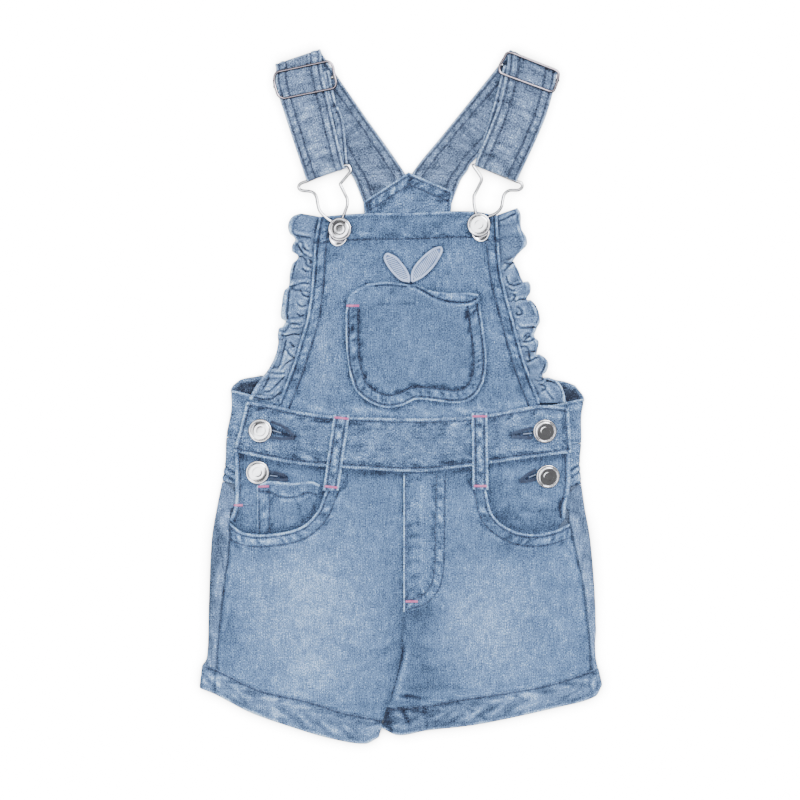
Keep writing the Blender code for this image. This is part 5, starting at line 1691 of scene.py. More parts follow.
@dataclass
class Waist:
    """Front waistband with its buttonholes and belt loops, and the back waistband."""

    loop_width: float = 11.0
    row: float = 2.8

    def build(self) -> None:
        """Make the waist's pieces."""
        self.back_band()
        self.front_band()
        for side in Side:
            self.belt_loop(side)

    def front_band(self) -> None:
        """Front waistband, open at both ends over the button stands."""
        top, bottom = Path(WAIST_TOP), Path(WAIST_BOTTOM)
        left, right = Path((WAIST_TOP[0], WAIST_BOTTOM[0])), Path((WAIST_TOP[-1], WAIST_BOTTOM[-1]))
        sheet = Sheet("front_waistband_cloth", patch(top, bottom, left, right, waist_level, 1.1,
            0.6, 8.0), BAND,
                      "band_denim", "band_denim", ("front_waistband",), soft_edge=1.5, slack=0.2,
                      slack_size=15.0, seed=41.0)
        for line, seed in ((top, 2.0), (bottom, 3.0), (left, 4.0), (right, 5.0)):
            sheet.sew(top_stitch(line, (self.row,), 0.2, -0.4, 0.16, seed))
        sheet.marks += [
            Mark(bottom, 5.6, 2.4, 0.1, 0.06, 2, 4.6, seed=8),
            Mark(top, 5.4, 2.2, 0.08, 0.05, 2, 5, seed=9),
            Mark(left, 0.8, 0.9, 0, 0.1), Mark(right, 0.8, 0.9, 0, 0.06),
        ]
        sheet.fade(
            (-57, -41, 17, 4.5, -0.14), (-57, -17, 14, 3, -0.07), (50, -41, 18, 5, -0.13),
            (77, -36, 8, 5, 0.08), (-99, -20, 8, 14, 0.07), (104, -22, 9, 14, 0.05),
            (-20, -29, 14, 4, 0.07), (0, -38, 20, 3.5, 0.08), (24, -24, 12, 3, -0.07),
            (-28, -22, 9, 2.6, -0.09),
            (-91, -9, 8, 4, -0.1), (-102, -18, 6, 7, 0.1))
        holes = (
            Buttonhole("left_upper", plan(271, 421.5, 283, 426, 294, 435.5),
                plan(270, 437.5, 284, 438.5, 294, 438)),
            Buttonhole("right_upper", plan(532, 428, 521, 430.5, 511.5, 434),
                plan(532, 438, 521, 437.5, 511.5, 436.5)),
        )
        for hole in holes:
            sheet.marks += hole.marks()
        sheet.make()
        for hole in holes:
            hole.stitch(sheet)

    def belt_loop(self, side: Side) -> None:
        """Make a belt loop with two rows of stitches and a bar tack at each end.

        Args:
            side: side of the garment.
        """
        top, bottom = np.array(BELT_LOOPS[side][0]), np.array(BELT_LOOPS[side][1])
        t = spread(float(np.linalg.norm(bottom - top)), 1.0, 0.6, 5.0)[:, None]
        across = (spread(self.loop_width, 0.6, 0.5, 4.0) - 0.5)[None] * self.loop_width
        x = top[0] * (1 - t) + bottom[0] * t + across
        y = top[1] * (1 - t) + bottom[1] * t + 0.0 * across
        level = np.maximum(waist_level(x, y) + BAND, front_level(x, y) + CLOTH) + GAP + 0.1
        level = level + 0.5 * np.sin(np.pi * t) + 0.15 * (1 - (across / self.loop_width * 2) ** 2)
        name = f"belt_loop_{side.value}"
        chart = np.dstack((x - x[:, :1], y))
        sheet = Sheet(name + "_cloth", np.dstack((x, y, level)), CLOTH, "band_denim", "band_denim",
            (name,), chart,
                      soft_edge=1.2, slack=0.05, seed=43.0 + side.sign,
                      rests_on=("front_waistband_cloth",))
        for k, u in enumerate((0.0, self.loop_width)):
            line = Path(((u, y.max()), (u, y.min())))
            sheet.sew(top_stitch(line, (2.5,), 0.3, -0.38, 0.1, 2 + k))
        middle = Path(((self.loop_width / 2, y.max()), (self.loop_width / 2, y.min())))
        sheet.marks += [Mark(middle, 0, 2, 0.25, 0.12, 1.6, 3, seed=5)]
        for v in (y.max(), y.min()):
            sheet.marks.append(Mark(Path(((0, v), (self.loop_width, v))), 0.6, 1.2, 0.1, 0.1, 0.5,
                3, seed=6))
        sheet.make()
        half_drop = 0.25 * (1.0 - side.sign)
        bar_tacks(name + "_tack", sheet, *(
            ((inset, v + half_drop), (self.loop_width - inset, v - half_drop))
            for v, inset in ((y.max() - 2.4, 0.6), (y.min() + 2.6, 1.0))))

    def back_band(self) -> None:
        """Back waistband, from the left button stand round the back to the right one."""
        share = spread(32.0, 1.6, 0.9, 4.0)
        halves = []
        for side in Side:
            fold_top, bottom = OUTER_FOLD[side][0][1], BACK_WAIST_BOTTOM[side]
            y = fold_top + (bottom - fold_top) * share
            inner_y = -8.0 + (BACK_WAIST_MIDDLE + 8.0) * share
            wrap = Wrap(side, np.arange(0.0, 0.985, 0.03), 9, spread(36.0, 1.8, 1.2, 4.0)[1:])
            grid, _ = wrap.grid(inner_y, y, y - YOKE_SLANT, 0.0, Path(OUTER_FOLD[side]).cross(y, 1),
                                STAND_END[side], STAND_LEVEL + CLOTH / 2)
            flat = grid[0, :, 2] < BACK_LEVEL + CLOTH
            rim = Path(BACK_WAIST_TOP[side]).cross(grid[0, :, 0], 0)
            rise_by = np.where(flat, rim - grid[0, :, 1], 0.0)
            grid[..., 1] += rise_by[None] * (1.0 - share[:, None]) ** 2
            halves.append((grid, wrap.chart(grid)))
        (left, left_chart), (right, right_chart) = halves
        left_chart = left_chart - (left_chart[:, :1, 0:1] * (1.0, 0.0))
        right_chart = right_chart - (right_chart[:, :1, 0:1] * (1.0, 0.0))
        grid = np.concatenate((left[:, ::-1], right[:, 1:]), axis=1)
        chart = np.concatenate((left_chart[:, ::-1], right_chart[:, 1:]), axis=1)
        # The inside is darker: partly its inner face's own darker colour, partly painted shade in
        # the hollows at the hips where it shows.
        sheet = Sheet("back_waistband_cloth", grid, CLOTH, "band_denim", "band_denim",
            ("back_waistband",), chart,
                      middle=True, inside=-0.45, lip=0.50, soft_edge=1.0, shade=0.05, slack=0.0,
                      seed=47.0)
        rim = Path(chart[0], smooth=False)
        sheet.sew(top_stitch(rim, (2.4,), 0.24, -0.18, 0.1, 3), stitched=False)
        foot = Path(chart[-1], smooth=False)
        sheet.sew(top_stitch(foot, (2,), 0.12, -0.22, 0.1, 4), stitched=False)
        sheet.build()


@dataclass(frozen=True)
class Buttonhole:
    """Worked keyhole buttonhole: two satin borders that meet at its tip, and the slit between."""

    name: str
    upper: Rows
    lower: Rows

    def marks(self) -> list[Mark]:
        """Dented cloth between the borders, painted dark: painted shade in the dent and the slit.
        """
        upper, lower = np.array(self.upper), np.array(self.lower)
        middle = Path(((upper[0] + lower[0]) / 2, (upper[-1] + lower[-1]) / 2))
        return [Mark(middle, 0, 2.8, -0.1, -0.34, 0.3, 4, seed=3), Mark(middle, 0, 0.8, -0.5, -0.3)]

    def stitch(self, sheet: Sheet) -> None:
        """Sew both borders and the light edge of the slit.

        Args:
            sheet: the cloth that the buttonhole is cut in.
        """
        batch = Threads(f"buttonhole_{self.name}", "navy_thread")
        for rows in (self.upper, self.lower):
            batch.satin(sheet, Path(rows), 2.5, 0.52, 0.5, 0.2, 0.2)
        batch.build("band_denim")
        upper, lower = np.array(self.upper), np.array(self.lower)
        start, end = (upper[0] + lower[0]) / 2, (upper[-1] + lower[-1]) / 2
        slit = Threads(f"buttonhole_{self.name}_slit", "edge_thread")
        slit.satin(sheet, Path((start, start * 0.55 + end * 0.45)), 0.9, 0.40, 0.4, 0.1, 0.2)
        slit.build("band_denim")


# ---------------------------------------------------------------- bib and back

@dataclass
class Bib:
    """Bib with its top band, pocket and leaves."""

    seam_row: float = 8.0

    def build(self) -> None:
        """Make the bib's pieces."""
        self.panel()
        self.band()
        self.pocket()
        for side in Side:
            Leaf(side).build()

    def seam_marks(self, sheet: Sheet, seed: float) -> None:
        """Turn the side edges: a worn ridge, a roped band and one row of stitches.

        Args:
            sheet: the bib or its top band.
            seed: picks the unevenness.
        """
        for side in Side:
            # A worn ridge, sunk lines painted darker as painted shade, a roped band, and a band
            # beyond the row painted darker as painted shadow.
            line = Path(BIB_SEAM[side])
            sheet.marks += [
                Mark(line, 0.9, 0.75, 0.35, 0.28, 0.4, 3.6, seed=seed),
                Mark(line, 2.4, 0.7, -0.3, -0.44, 0.4, 3.4, seed=seed + 1),
                Mark(line, 5.2, 2.2, 0.16, -0.05, 0, seed=seed),
                Mark(line, 5.2, 2, 0.1, 0.08, 2.4, 2.2, seed=seed + 2),
                Mark(line, self.seam_row + 0.3, 0.8, -0.3, -0.4, 0.3, 3, seed=seed + 3),
                Mark(line, self.seam_row + 2.4, 1.5, 0.04, -0.08, 1.4, 3.4, seed=seed + 4),
            ]
            sheet.rows.append(Row(line, self.seam_row, 2, 1))

    def panel(self) -> None:
        """Bib below its top band."""
        top = np.asarray(BIB_TOP) - (0.0, BIB_BAND_DEPTH - TUCK)
        sides = []
        for side in Side:
            path = Path(BIB_SEAM[side]).points
            end = top[0] if side is Side.LEFT else top[-1]
            path = path[path[:, 1] < end[1]]
            start = (float(Path(BIB_SEAM[side]).cross(end[1], 1)), end[1])
            sides.append(np.vstack((start, path)))
        left, right = sides
        top[0], top[-1] = left[0], right[0]
        x = np.linspace(left[-1, 0], right[-1, 0], 30)
        bottom = np.stack((x, Path(WAIST_TOP).cross(x, 0) - TUCK), axis=1)
        left[-1], right[-1] = bottom[0], bottom[-1]
        grid = patch(Path(top), Path(bottom, smooth=False), Path(left, smooth=False),
            Path(right, smooth=False),
                     bib_level)
        sheet = Sheet("bib_cloth", grid, CLOTH, "bib_denim", "panel_denim", ("bib",), slack=0.24,
                      slack_size=19.0, seed=51.0, rests_on=("back_panel_cloth",))
        self.seam_marks(sheet, 3.0)
        # Painted shadow along the waistband's top, round the pocket and round the leaves; a raised
        # pale band above the waistband.
        sheet.marks += [
            Mark(Path(WAIST_TOP), 0.4, 1.2, 0, -0.1, 0.2, 9, seed=4),
            Mark(Path(WAIST_TOP), 4, 3.4, 0.12, 0.1, 1.2, 6.5, seed=5),
            Mark(Path(POCKET_LEFT), 1, 1.5, 0, -0.15, 0.3, 9, seed=6),
            Mark(Path(POCKET_FOOT), 1, 1.5, 0, -0.17, 0.3, 9, seed=6),
            Mark(Path(POCKET_RIGHT), 1, 1.5, 0, -0.15, 0.3, 9, seed=6),
            Mark(Path(POCKET_TOP), 0.8, 1.2, 0, -0.1, 0.3, 9, seed=6),
            *(Mark(Path(edge), 0, 1.6, -0.1, -0.26, 0.2, 4,
                seed=8) for side in Side for edge in Leaf.OUTLINES[side]),
            Mark(Path(top), 1.2, 1.8, 0, -0.05, 0.3, 9, seed=7),
        ]
        sheet.fade(
            (-38, 84, 20, 18, 0.05), (24, 95, 26, 8, 0.05), (-54, 36, 11, 40, 0.1, 0.06),
            (66, 40, 9, 34, 0.03), (-34, 60, 10, 6, -0.08), (10, 88, 9, 6, 0.08),
            (-52, 95, 14, 5, -0.13))
        sheet.make()

    def band(self) -> None:
        """Hem turned down across the bib's top."""
        top = Path(BIB_TOP)
        bottom = top.at(np.linspace(0, 1, 13)) - (0.0, BIB_BAND_DEPTH)
        for k, side in ((0, Side.LEFT), (-1, Side.RIGHT)):
            bottom[k, 0] = Path(BIB_SEAM[side]).cross(bottom[k, 1], 1)
        bottom = Path(bottom)
        left, right = Path((top.points[0], bottom.points[0])), Path((top.points[-1],
            bottom.points[-1]))
        grid = patch(top, bottom, left, right, bib_level, 1.0, 0.6, 7.0)
        sheet = Sheet("bib_top_band_cloth", grid, BAND * 0.85, "bib_denim", "band_denim",
            ("bib_top_band",),
                      soft_edge=1.5, slack=0.14, slack_size=11.0, shade=-0.07, seed=53.0)
        self.seam_marks(sheet, 13.0)
        sheet.sew(top_stitch(bottom, (0.9,), 0, -0.36, 0.1, 5))
        sheet.marks += [
            Mark(top, 0.7, 0.9, 0.12, 0.24, 0.5, 4.5, seed=2),
            Mark(top, 2.6, 0.9, 0, -0.06, 0.5, 4.5, seed=3),
            Mark(bottom, 3.6, 2, 0.1, 0.08, 2, 4.2, seed=6),
            Mark(top, 7, 3, 0.05, 0.06, 1.6, 7, seed=7),
        ]
        sheet.make()

    def pocket(self) -> None:
        """Pocket in a rounded fruit outline, its mouth rolling forward at the right."""
        top, foot = Path(POCKET_TOP), Path(POCKET_FOOT)
        left, right = Path(POCKET_LEFT), Path(POCKET_RIGHT)

        def level(x: np.ndarray, y: np.ndarray) -> np.ndarray:
            """Underside of the pocket, with its open lip."""
            lip = 1.5 * rise(x, 6.0, 24.0) * rise(y, 56.0, 66.0)
            return bib_level(x, y) + CLOTH + 0.12 + lip

        grid = patch(top, foot, left, right, level, 1.0, 0.6, 12.0)
        sheet = Sheet("bib_pocket_cloth", grid, CLOTH, "pocket_denim", "pocket_denim",
            ("bib_pocket",),
                      soft_edge=1.0, slack=0.2, slack_size=13.0, seed=57.0, shade=0.02,
                      rests_on=("bib_cloth",))
        outline = Path(plan(346.2, 306, 345.5, 315, 345.5, 339, 347, 363, 349.9, 375.4),
            POCKET_FOOT,
                       plan(483.7, 382.2, 486.4, 365.7, 485.8, 348.9, 483.4, 329.8, 479.8, 303))
        sheet.sew(top_stitch(outline, (2.1, 8.6), 0.24, -0.62, 0.18, 3, 0.5, 2, fade=1))
        hem_line = plan(359, 306, 380, 304.5, 400, 304, 425, 303)
        roll = plan(408, 286, 416, 287.3, 425, 292, 432, 296.3, 440, 299.5, 448, 301.5, 463, 302.5,
            470, 301.4, 475, 299, 478, 296)
        # The dark lines under the pocket's top edge, under its rolled lip and at the roll's end are
        # painted shadow.
        sheet.marks += [
            Mark(top, 0.7, 0.7, 0.15, 0.2, 0.4, 4, seed=4),
            Mark(Path(POCKET_LEFT), 0.7, 0.7, 0.12, 0.16, 0.4, 4, seed=4.5),
            Mark(Path(plan(372, 286.4, 384, 285.2, 396, 285.6, 408, 287.2)), 0, 0.65, -0.4, -0.46,
                0.2, 6, 2, 5),
            Mark(Path(roll), 0, 0.75, -0.55, -0.5, 0.1, 6, 2.5, 6),
            Mark(Path(roll).moved(-1.7), 0, 0.8, 0.25, 0.22, 0.3, 6, 2.5, 7),
            Mark(Path(roll).moved(3), 0, 2.2, 0.5, 0.12, 1.8, 1.5, 5, 8),
            Mark(outline, 5.4, 1.8, 0, -0.08, 0.6, 4, 2, 11),
            Mark(outline, 9.4, 0.9, -0.15, -0.16, 0.4, 3, 2, 12),
            Mark(Path(hem_line), 0, 0.9, -0.1, -0.14, 0.6, 4, 3, 9),
            Mark(Path(plan(474, 301, 477, 304, 478, 312)), 0, 1.8, -0.3, -0.24, 0.1, 6, 0.6, 10),
        ]
        sheet.fade(
            (-17, 68, 12, 5, 0.06), (-23.5, 71.4, 1.6, 1.6, -0.16), (-5.8, 70.8, 1.8, 2.2, -0.18),
            (10, 30, 20, 22, 0.03),
            (4, -1, 36, 6, 0.12))
        sheet.make()
        bar_tacks("bib_pocket_tack", sheet, plan(346.5, 306, 359, 306))


@dataclass
class Leaf:
    """Embroidered leaf: a satin border round rows of fine lines."""

    side: Side
    border: float = 1.7
    # Each leaf's left and right edge from its tip to its foot
    OUTLINES = {
        Side.LEFT: (
            plan(386, 253.4, 383.5, 257.5, 385.6, 263.8, 390, 270.6, 396.9, 278.1, 402, 281.5,
                408.5, 282.8),
            plan(388.3, 253, 396.3, 256.9, 401.9, 263.1, 406.9, 270, 409.8, 276, 410.4, 282),
        ),
        Side.RIGHT: (
            plan(439, 246.4, 432.5, 248.8, 425, 254.4, 418.8, 260.6, 413.1, 268.1, 410.8, 275, 411,
                281.8),
            plan(441.5, 246.8, 442.9, 250.6, 440, 257.5, 434.4, 266.3, 427.5, 273.8, 421.3, 278.8,
                412.8, 282.8),
        ),
    }

    def build(self) -> None:
        """Make the leaf's cloth and its embroidery."""
        name = f"leaf_{self.side.value}"
        one, other = (Path(rows) for rows in self.OUTLINES[self.side])
        v, u = spread(one.length, 0.8, 0.6, 3.0), spread(9.0, 0.7, 0.5, 2.0)
        a, b = one.at(v), other.at(v)
        flat = a[:, None] * (1 - u)[None, :, None] + b[:, None] * u[None, :, None]
        grid = np.dstack((flat, bib_level(flat[..., 0], flat[..., 1]) + CLOTH + 0.1))
        sheet = Sheet(name + "_cloth", grid, 0.7, "leaf_cloth", "leaf_cloth", (name,),
            soft_edge=0.9, slack=0.0,
                      seed=61.0, rests_on=("bib_cloth",))
        sheet.build()
        outline = Path(one.points, (one.points[-1], other.points[-1]), other.points[::-1],
                       (other.points[0], one.points[0]), smooth=False)
        inner = sheet.cloth_side(outline)
        hatch = Threads(name + "_hatch", "leaf_thread")
        share = np.linspace(0.10, 0.90, 40)
        spine = Path((one.at(share) + other.at(share)) / 2, smooth=False)
        hatch.satin(sheet, spine, 6.4, 1.35, 0.66, 0.12, 2.2)
        hatch.build("leaf_cloth")
        border = Threads(name + "_border", "satin_thread")
        line = Path(Threads.beside(outline, np.linspace(0.2, outline.length - 0.2, 90),
            inner * self.border * 0.45))
        border.satin(sheet, line, self.border, 0.40, 0.45, 0.34, 0.25)
        border.build("leaf_cloth")
        edge = Threads(name + "_edge", "navy_thread")
        edge.run(sheet, Row(outline, self.border + 0.25, pitch=1.3, thick=0.34), inner)
        edge.build("leaf_cloth")


@dataclass
class Ruffle:
    """Gathered ruffle: lobes between folds that double over at the free edge."""

    side: Side
    depth: float = 18.0
    height: float = 4.2
    tucked: float = 1.3    # how far the right foot reaches down to the waistband
    steps: int = 22        # rows of the grid for each lobe
    EDGES = {
        Side.LEFT: plan(301, 214, 293, 217, 288.5, 225, 290, 234, 295.5, 238.5, 292.5, 246, 293.5,
            252, 298.5, 257.5, 293.5, 264, 290, 274, 289, 286, 284.5, 292, 282, 305, 281.5, 318,
            286, 322, 279.5, 330, 278, 337, 278.5, 343, 275.5, 356, 269, 369, 263, 377, 257, 385,
            253, 392, 249, 399),
        Side.RIGHT: plan(517, 208.5, 520, 214, 521, 229, 526, 238, 526, 245.5, 514, 259.5, 518, 271,
            523, 282, 529, 284, 530, 292, 526.5, 300, 533, 303, 538, 311, 539.5, 321, 536.5, 328,
            534, 336.5, 538, 343, 537, 350.5, 536.5, 355, 542, 356.5, 547.5, 362, 547, 369, 542.3,
            376.5, 551, 379, 558.5, 383, 563, 391, 566, 400.6),
    }
    # Each fold from the seam to the free edge, how deep it is and how far the lobe after it
    # leans over the next fold
    FOLDS = {
        Side.LEFT: (
            (plan(316, 231, 288, 228), 0.25, 0.2), (plan(313.5, 243.5, 295.5, 238.5), 1, 0.9),
            (plan(312, 250, 293, 244), 0.8, 0.9), (plan(311.5, 256, 293.5, 250.5), 0.9, -0.8),
            (plan(311, 262.5, 298.5, 257.5), 1, 0.6), (plan(310, 272, 291, 271), 0.5, -0.4),
            (plan(309.5, 281, 289.6, 279), 0.4, 0.3), (plan(309, 294, 289, 286.5), 1, -0.5),
            (plan(308, 304, 282, 305), 0.4, 0.2), (plan(306.5, 317, 285.5, 321.5), 1, 1),
            (plan(303.5, 325, 281, 329), 0.9, -0.9), (plan(300.5, 333, 278.3, 340), 1, 0.7),
            (plan(297.5, 345, 276.5, 353), 0.6, -0.5), (plan(293.5, 357, 269, 369.5), 1, 0.7),
            (plan(286, 378, 258.5, 383), 0.7, 0.5), (plan(281.5, 392, 251.5, 395.5), 0.9, 0.3),
        ),
        Side.RIGHT: (
            (plan(498.5, 226, 521, 221), 0.2, 0.2), (plan(500, 243, 525, 236), 0.35, 0.5),
            (plan(502, 262, 518, 255.5), 1, 1), (plan(504, 275, 514.5, 262), 0.8, 0.5),
            (plan(506.5, 287, 523, 281.5), 0.9, -0.6), (plan(508.5, 296, 530, 291), 0.4, 0.3),
            (plan(510.6, 303, 526.5, 300), 1, -0.7), (plan(513, 315, 538.5, 313), 0.35, 0.5),
            (plan(517, 328, 536.7, 327.5), 1, 0.8), (plan(519.5, 341.5, 534, 336.5), 0.9, -0.6),
            (plan(522.5, 352, 537, 350.5), 1, 0.8), (plan(525.5, 363, 536.5, 355), 1, -0.8),
            (plan(528.5, 371, 547.8, 365), 0.4, 0.6), (plan(531.5, 378, 542.3, 376.5), 1, -0.7),
            (plan(535.5, 389, 556, 381.5), 0.8, 0.5),
        ),
    }

    # Creases inside the lobes, and the hem's seam, as they run in plan; each is drawn as a dark
    # line of painted shade with paler lines of painted highlight beside it
    CREASES = {
        Side.LEFT: (
            plan(293.3, 228.3, 292.5, 232.5, 296, 235.5, 311.7, 238.3),
            plan(298.3, 242.5, 302.5, 243.3, 304.2, 248.3, 310, 252.5),
            plan(295, 244.2, 298.3, 245, 300.8, 250, 303.3, 254.2, 311.7, 258.3),
            plan(298.3, 257.5, 302.5, 256.7, 305.8, 260.8, 306.7, 265, 311.7, 268.3),
            plan(305.8, 258.3, 310.8, 260.8, 310, 265),
            plan(296.7, 260.8, 294.2, 268.3, 291.7, 280, 290, 285),
            plan(301.7, 268.3, 306, 271.4, 310.8, 270.8),
            plan(290, 286.7, 295, 285.8, 303, 283.4, 310, 284),
            plan(300, 290, 303.3, 295, 307.5, 296.7, 309.2, 295.8),
            plan(296.7, 301.7, 301.7, 306.7, 306.7, 305),
            plan(290, 287.5, 288.7, 300, 287.5, 315, 288, 320.8),
            plan(296.7, 313.3, 300, 315.8, 305, 315),
            plan(282.5, 321.7, 288.3, 322.5, 290.8, 323.3, 303.3, 322.5),
            plan(280, 330.8, 285, 331.7, 287.5, 329.2, 290, 325, 295, 324.2, 301.7, 325),
            plan(280, 335, 286.7, 335.8, 293.3, 334.2, 300, 335),
            plan(286.7, 340, 285, 346.7, 282.5, 356.7, 278.3, 370),
            plan(289.2, 341.7, 292.5, 345, 295, 348.3), plan(286.7, 349.2, 290, 355, 295, 358.3),
            plan(280.8, 370.8, 285, 365, 293.3, 358.3),
            plan(266.7, 371.7, 273.3, 373.3, 285, 373.3),
            plan(270, 373.3, 268.3, 380, 263.3, 390),
            plan(263.3, 391.7, 270, 390.8, 278.3, 383.3, 285, 375.8),
            plan(253, 397, 260, 398.6, 266.7, 399, 273.3, 398, 280.8, 391.7),
        ),
        Side.RIGHT: (
            plan(499.2, 221.7, 505, 219.2, 511.7, 215.8, 515.8, 214.2),
            plan(517.5, 214.2, 517.5, 221.7, 520.8, 231.7, 524.2, 241),
            plan(515, 260, 510, 264.2, 503.3, 263.3),
            plan(504.2, 266.7, 509.2, 265.8, 512.5, 261.7), plan(503.3, 271.7, 508.3, 266.7),
            plan(512.5, 261.7, 515, 268.3, 520.8, 281.7),
            plan(505.8, 275.8, 508.3, 283.3, 515, 285.8, 523.3, 281.7),
            plan(507.5, 288.3, 513.3, 290.8, 515, 289.2),
            plan(510, 293.3, 515, 295.8, 513.3, 300, 510.8, 301.7),
            plan(527.5, 283.3, 528.3, 290, 525.8, 298.3, 518.3, 300, 513.3, 303.3),
            plan(515, 306.7, 519.2, 308.3, 521.7, 313.3, 517.5, 315, 515.8, 311.7),
            plan(532.5, 302.5, 536.7, 310, 537.5, 318.3, 535.8, 324.2),
            plan(517.5, 325, 521.7, 328, 530, 327, 535.8, 327.5),
            plan(523.3, 338.3, 527.5, 333.3, 529.2, 335.8, 524.2, 340.8),
            plan(521.7, 341.7, 528.3, 341.7, 535, 338.3),
            plan(520, 346.7, 525.8, 346.7, 529.2, 350.8, 535.8, 351.7),
            plan(524.2, 351.7, 528.3, 352.5, 529.2, 361.7),
            plan(525.8, 362.5, 531.7, 360, 537.5, 356.7),
            plan(543.3, 356.7, 545, 363.3, 541.7, 371.7, 540, 375),
            plan(534.2, 380, 540, 380.8, 543.3, 376.7),
            plan(536.7, 383.3, 541.7, 385, 545, 388.3, 540, 389.2),
            plan(540, 391.7, 545, 390, 548.3, 394.2, 553.3, 400),
            plan(545, 380, 555, 383.3, 560, 390, 561.7, 398),
        ),
    }

    def build(self) -> None:
        """Make the ruffle."""
        side, sign = self.side, self.side.sign
        name = f"ruffle_{side.value}"
        seam = Path(np.asarray(BIB_SEAM[side]) - (sign * 1.0, 0.0))
        edge = Path(self.EDGES[side])
        count = len(self.FOLDS[side])
        lobes = count + 1
        q = np.linspace(0.0, lobes, lobes * self.steps + 1)
        t = spread(self.depth, 0.8, 0.6, 4.0)
        ends = np.array([line for line, _, _ in self.FOLDS[side]])
        whole = np.arange(lobes + 1.0)
        starts = [np.concatenate(([0.0], path.measure(ends[:, k, 0],
            ends[:, k, 1])[1] / path.length, [1.0]))
                  for k, path in ((0, seam), (1, edge))]
        inner, outer = seam.at(np.interp(q, whole, starts[0])), edge.at(np.interp(q, whole,
            starts[1]))
        depth = np.concatenate(([0.3], [deep for _, deep, _ in self.FOLDS[side]], [0.5]))
        lean = np.concatenate(([0.0], [over for _, _, over in self.FOLDS[side]]))
        part = q % 1.0
        lobe = np.minimum(q.astype(int), lobes - 1)
        fold = depth[lobe] * (1.0 - part) + depth[lobe + 1] * part
        along = np.gradient(outer, axis=0)
        along /= np.maximum(np.linalg.norm(along, axis=1, keepdims=True), 1e-9)
        width = np.diff(starts[1])[lobe] * edge.length
        crest = np.sin(np.pi * part)
        over = lean[lobe] * np.minimum(width * 0.55, 3.4) * crest ** 1.5
        grow = rise(t, -0.1, 0.7)[None]
        inside = rise(q, 0.0, 1.0) * rise(lobes - q, 0.0, 1.0)
        bow = 1.8 * (np.sin(2.4 * q) * inside)[:, None] * np.sin(np.pi * t)[None]
        bow = bow + 0.9 * (np.sin(5.1 * q + 1.0) * inside)[:, None] * np.sin(2.0 * np.pi * t)[None]
        place = (inner[:, None] + (outer - inner)[:, None] * t[None, :, None]
                 + along[:, None] * (over[:, None] * grow + bow)[..., None])
        if side is Side.RIGHT:
            place[..., 1] -= self.tucked * rise(q, lobes - 0.8, lobes)[:, None]
        body = 1.0 - fold * (1.0 - crest ** 0.65)
        tall = self.height * (0.55 + 0.45 * fold) * np.minimum(1.0, 0.45 + width / 14.0)
        low = np.maximum(bib_level(place[..., 0], place[..., 1]), FRONT_LEVEL + 0.2) - 0.1
        out = rise(t, 0.02, 0.22)[None]
        z = low + 0.5 * out + (tall * body)[:, None] * out * (0.5 + 0.5 * rise(t, 0.1, 0.6)[None])
        grid = np.dstack((place, z))
        run = np.concatenate(([0.0], np.cumsum(np.linalg.norm(np.diff(grid[:, -3], axis=0),
            axis=1))))
        chart = np.dstack((np.tile(t[None] * self.depth * sign, (len(q), 1)),
            np.tile(-run[:, None], (1, len(t)))))
        sheet = Sheet(name + "_cloth", grid, LIGHT_CLOTH * 0.8, "ruffle_denim", "ruffle_denim",
            (name,), chart,
                      middle=True, double=True, slack=0.0, soft_edge=0.5, held="gathered",
                      seed=67.0 + sign,
                      rests_on=("back_panel_cloth",))
        free = Path(((self.depth * sign, 0.0), (self.depth * sign, -run[-1])), smooth=False)
        start = Path(((0.0, 0.0), (0.0, -run[-1])), smooth=False)
        sheet.sew(top_stitch(free, (3.3,), 0.26, -0.22, 0.1, 3, 2, 2), stitched=False)
        # Painted shade along the gathered seam.
        sheet.marks.append(Mark(start, 1.2, 1.3, 0, -0.32, 0.5, 5, seed=4))
        if side is Side.RIGHT:
            sheet.fade((6, -16, 8, 22, -0.12))
        sheet.plan = (place[..., 0].copy(), place[..., 1].copy())
        # Creases: sunk dark lines of painted shade, with raised pale lines of painted highlight
        # beside them.
        for k, rows in enumerate(self.CREASES[side]):
            line = Path(rows)
            sheet.drawn += [
                Mark(line, 0, 0.55, -0.6, -0.46, 0.2, 6, 0.8, k),
                Mark(line, 1.5, 0.85, 0.35, 0.17, 0.4, 6, 0.8, k + 0.5),
            ]
        # Painted highlight on the lobes' crests and painted shade in the fold valleys.
        painted_valley_shade = np.exp(-(np.minimum(part, 1.0 - part) * width / 0.8) ** 2) * fold
        tone = 0.08 * crest * fold - 0.22 * painted_valley_shade
        sheet.extra_shade = tone[:, None] * (0.9 + 0.1 * grow)
        sheet.make()


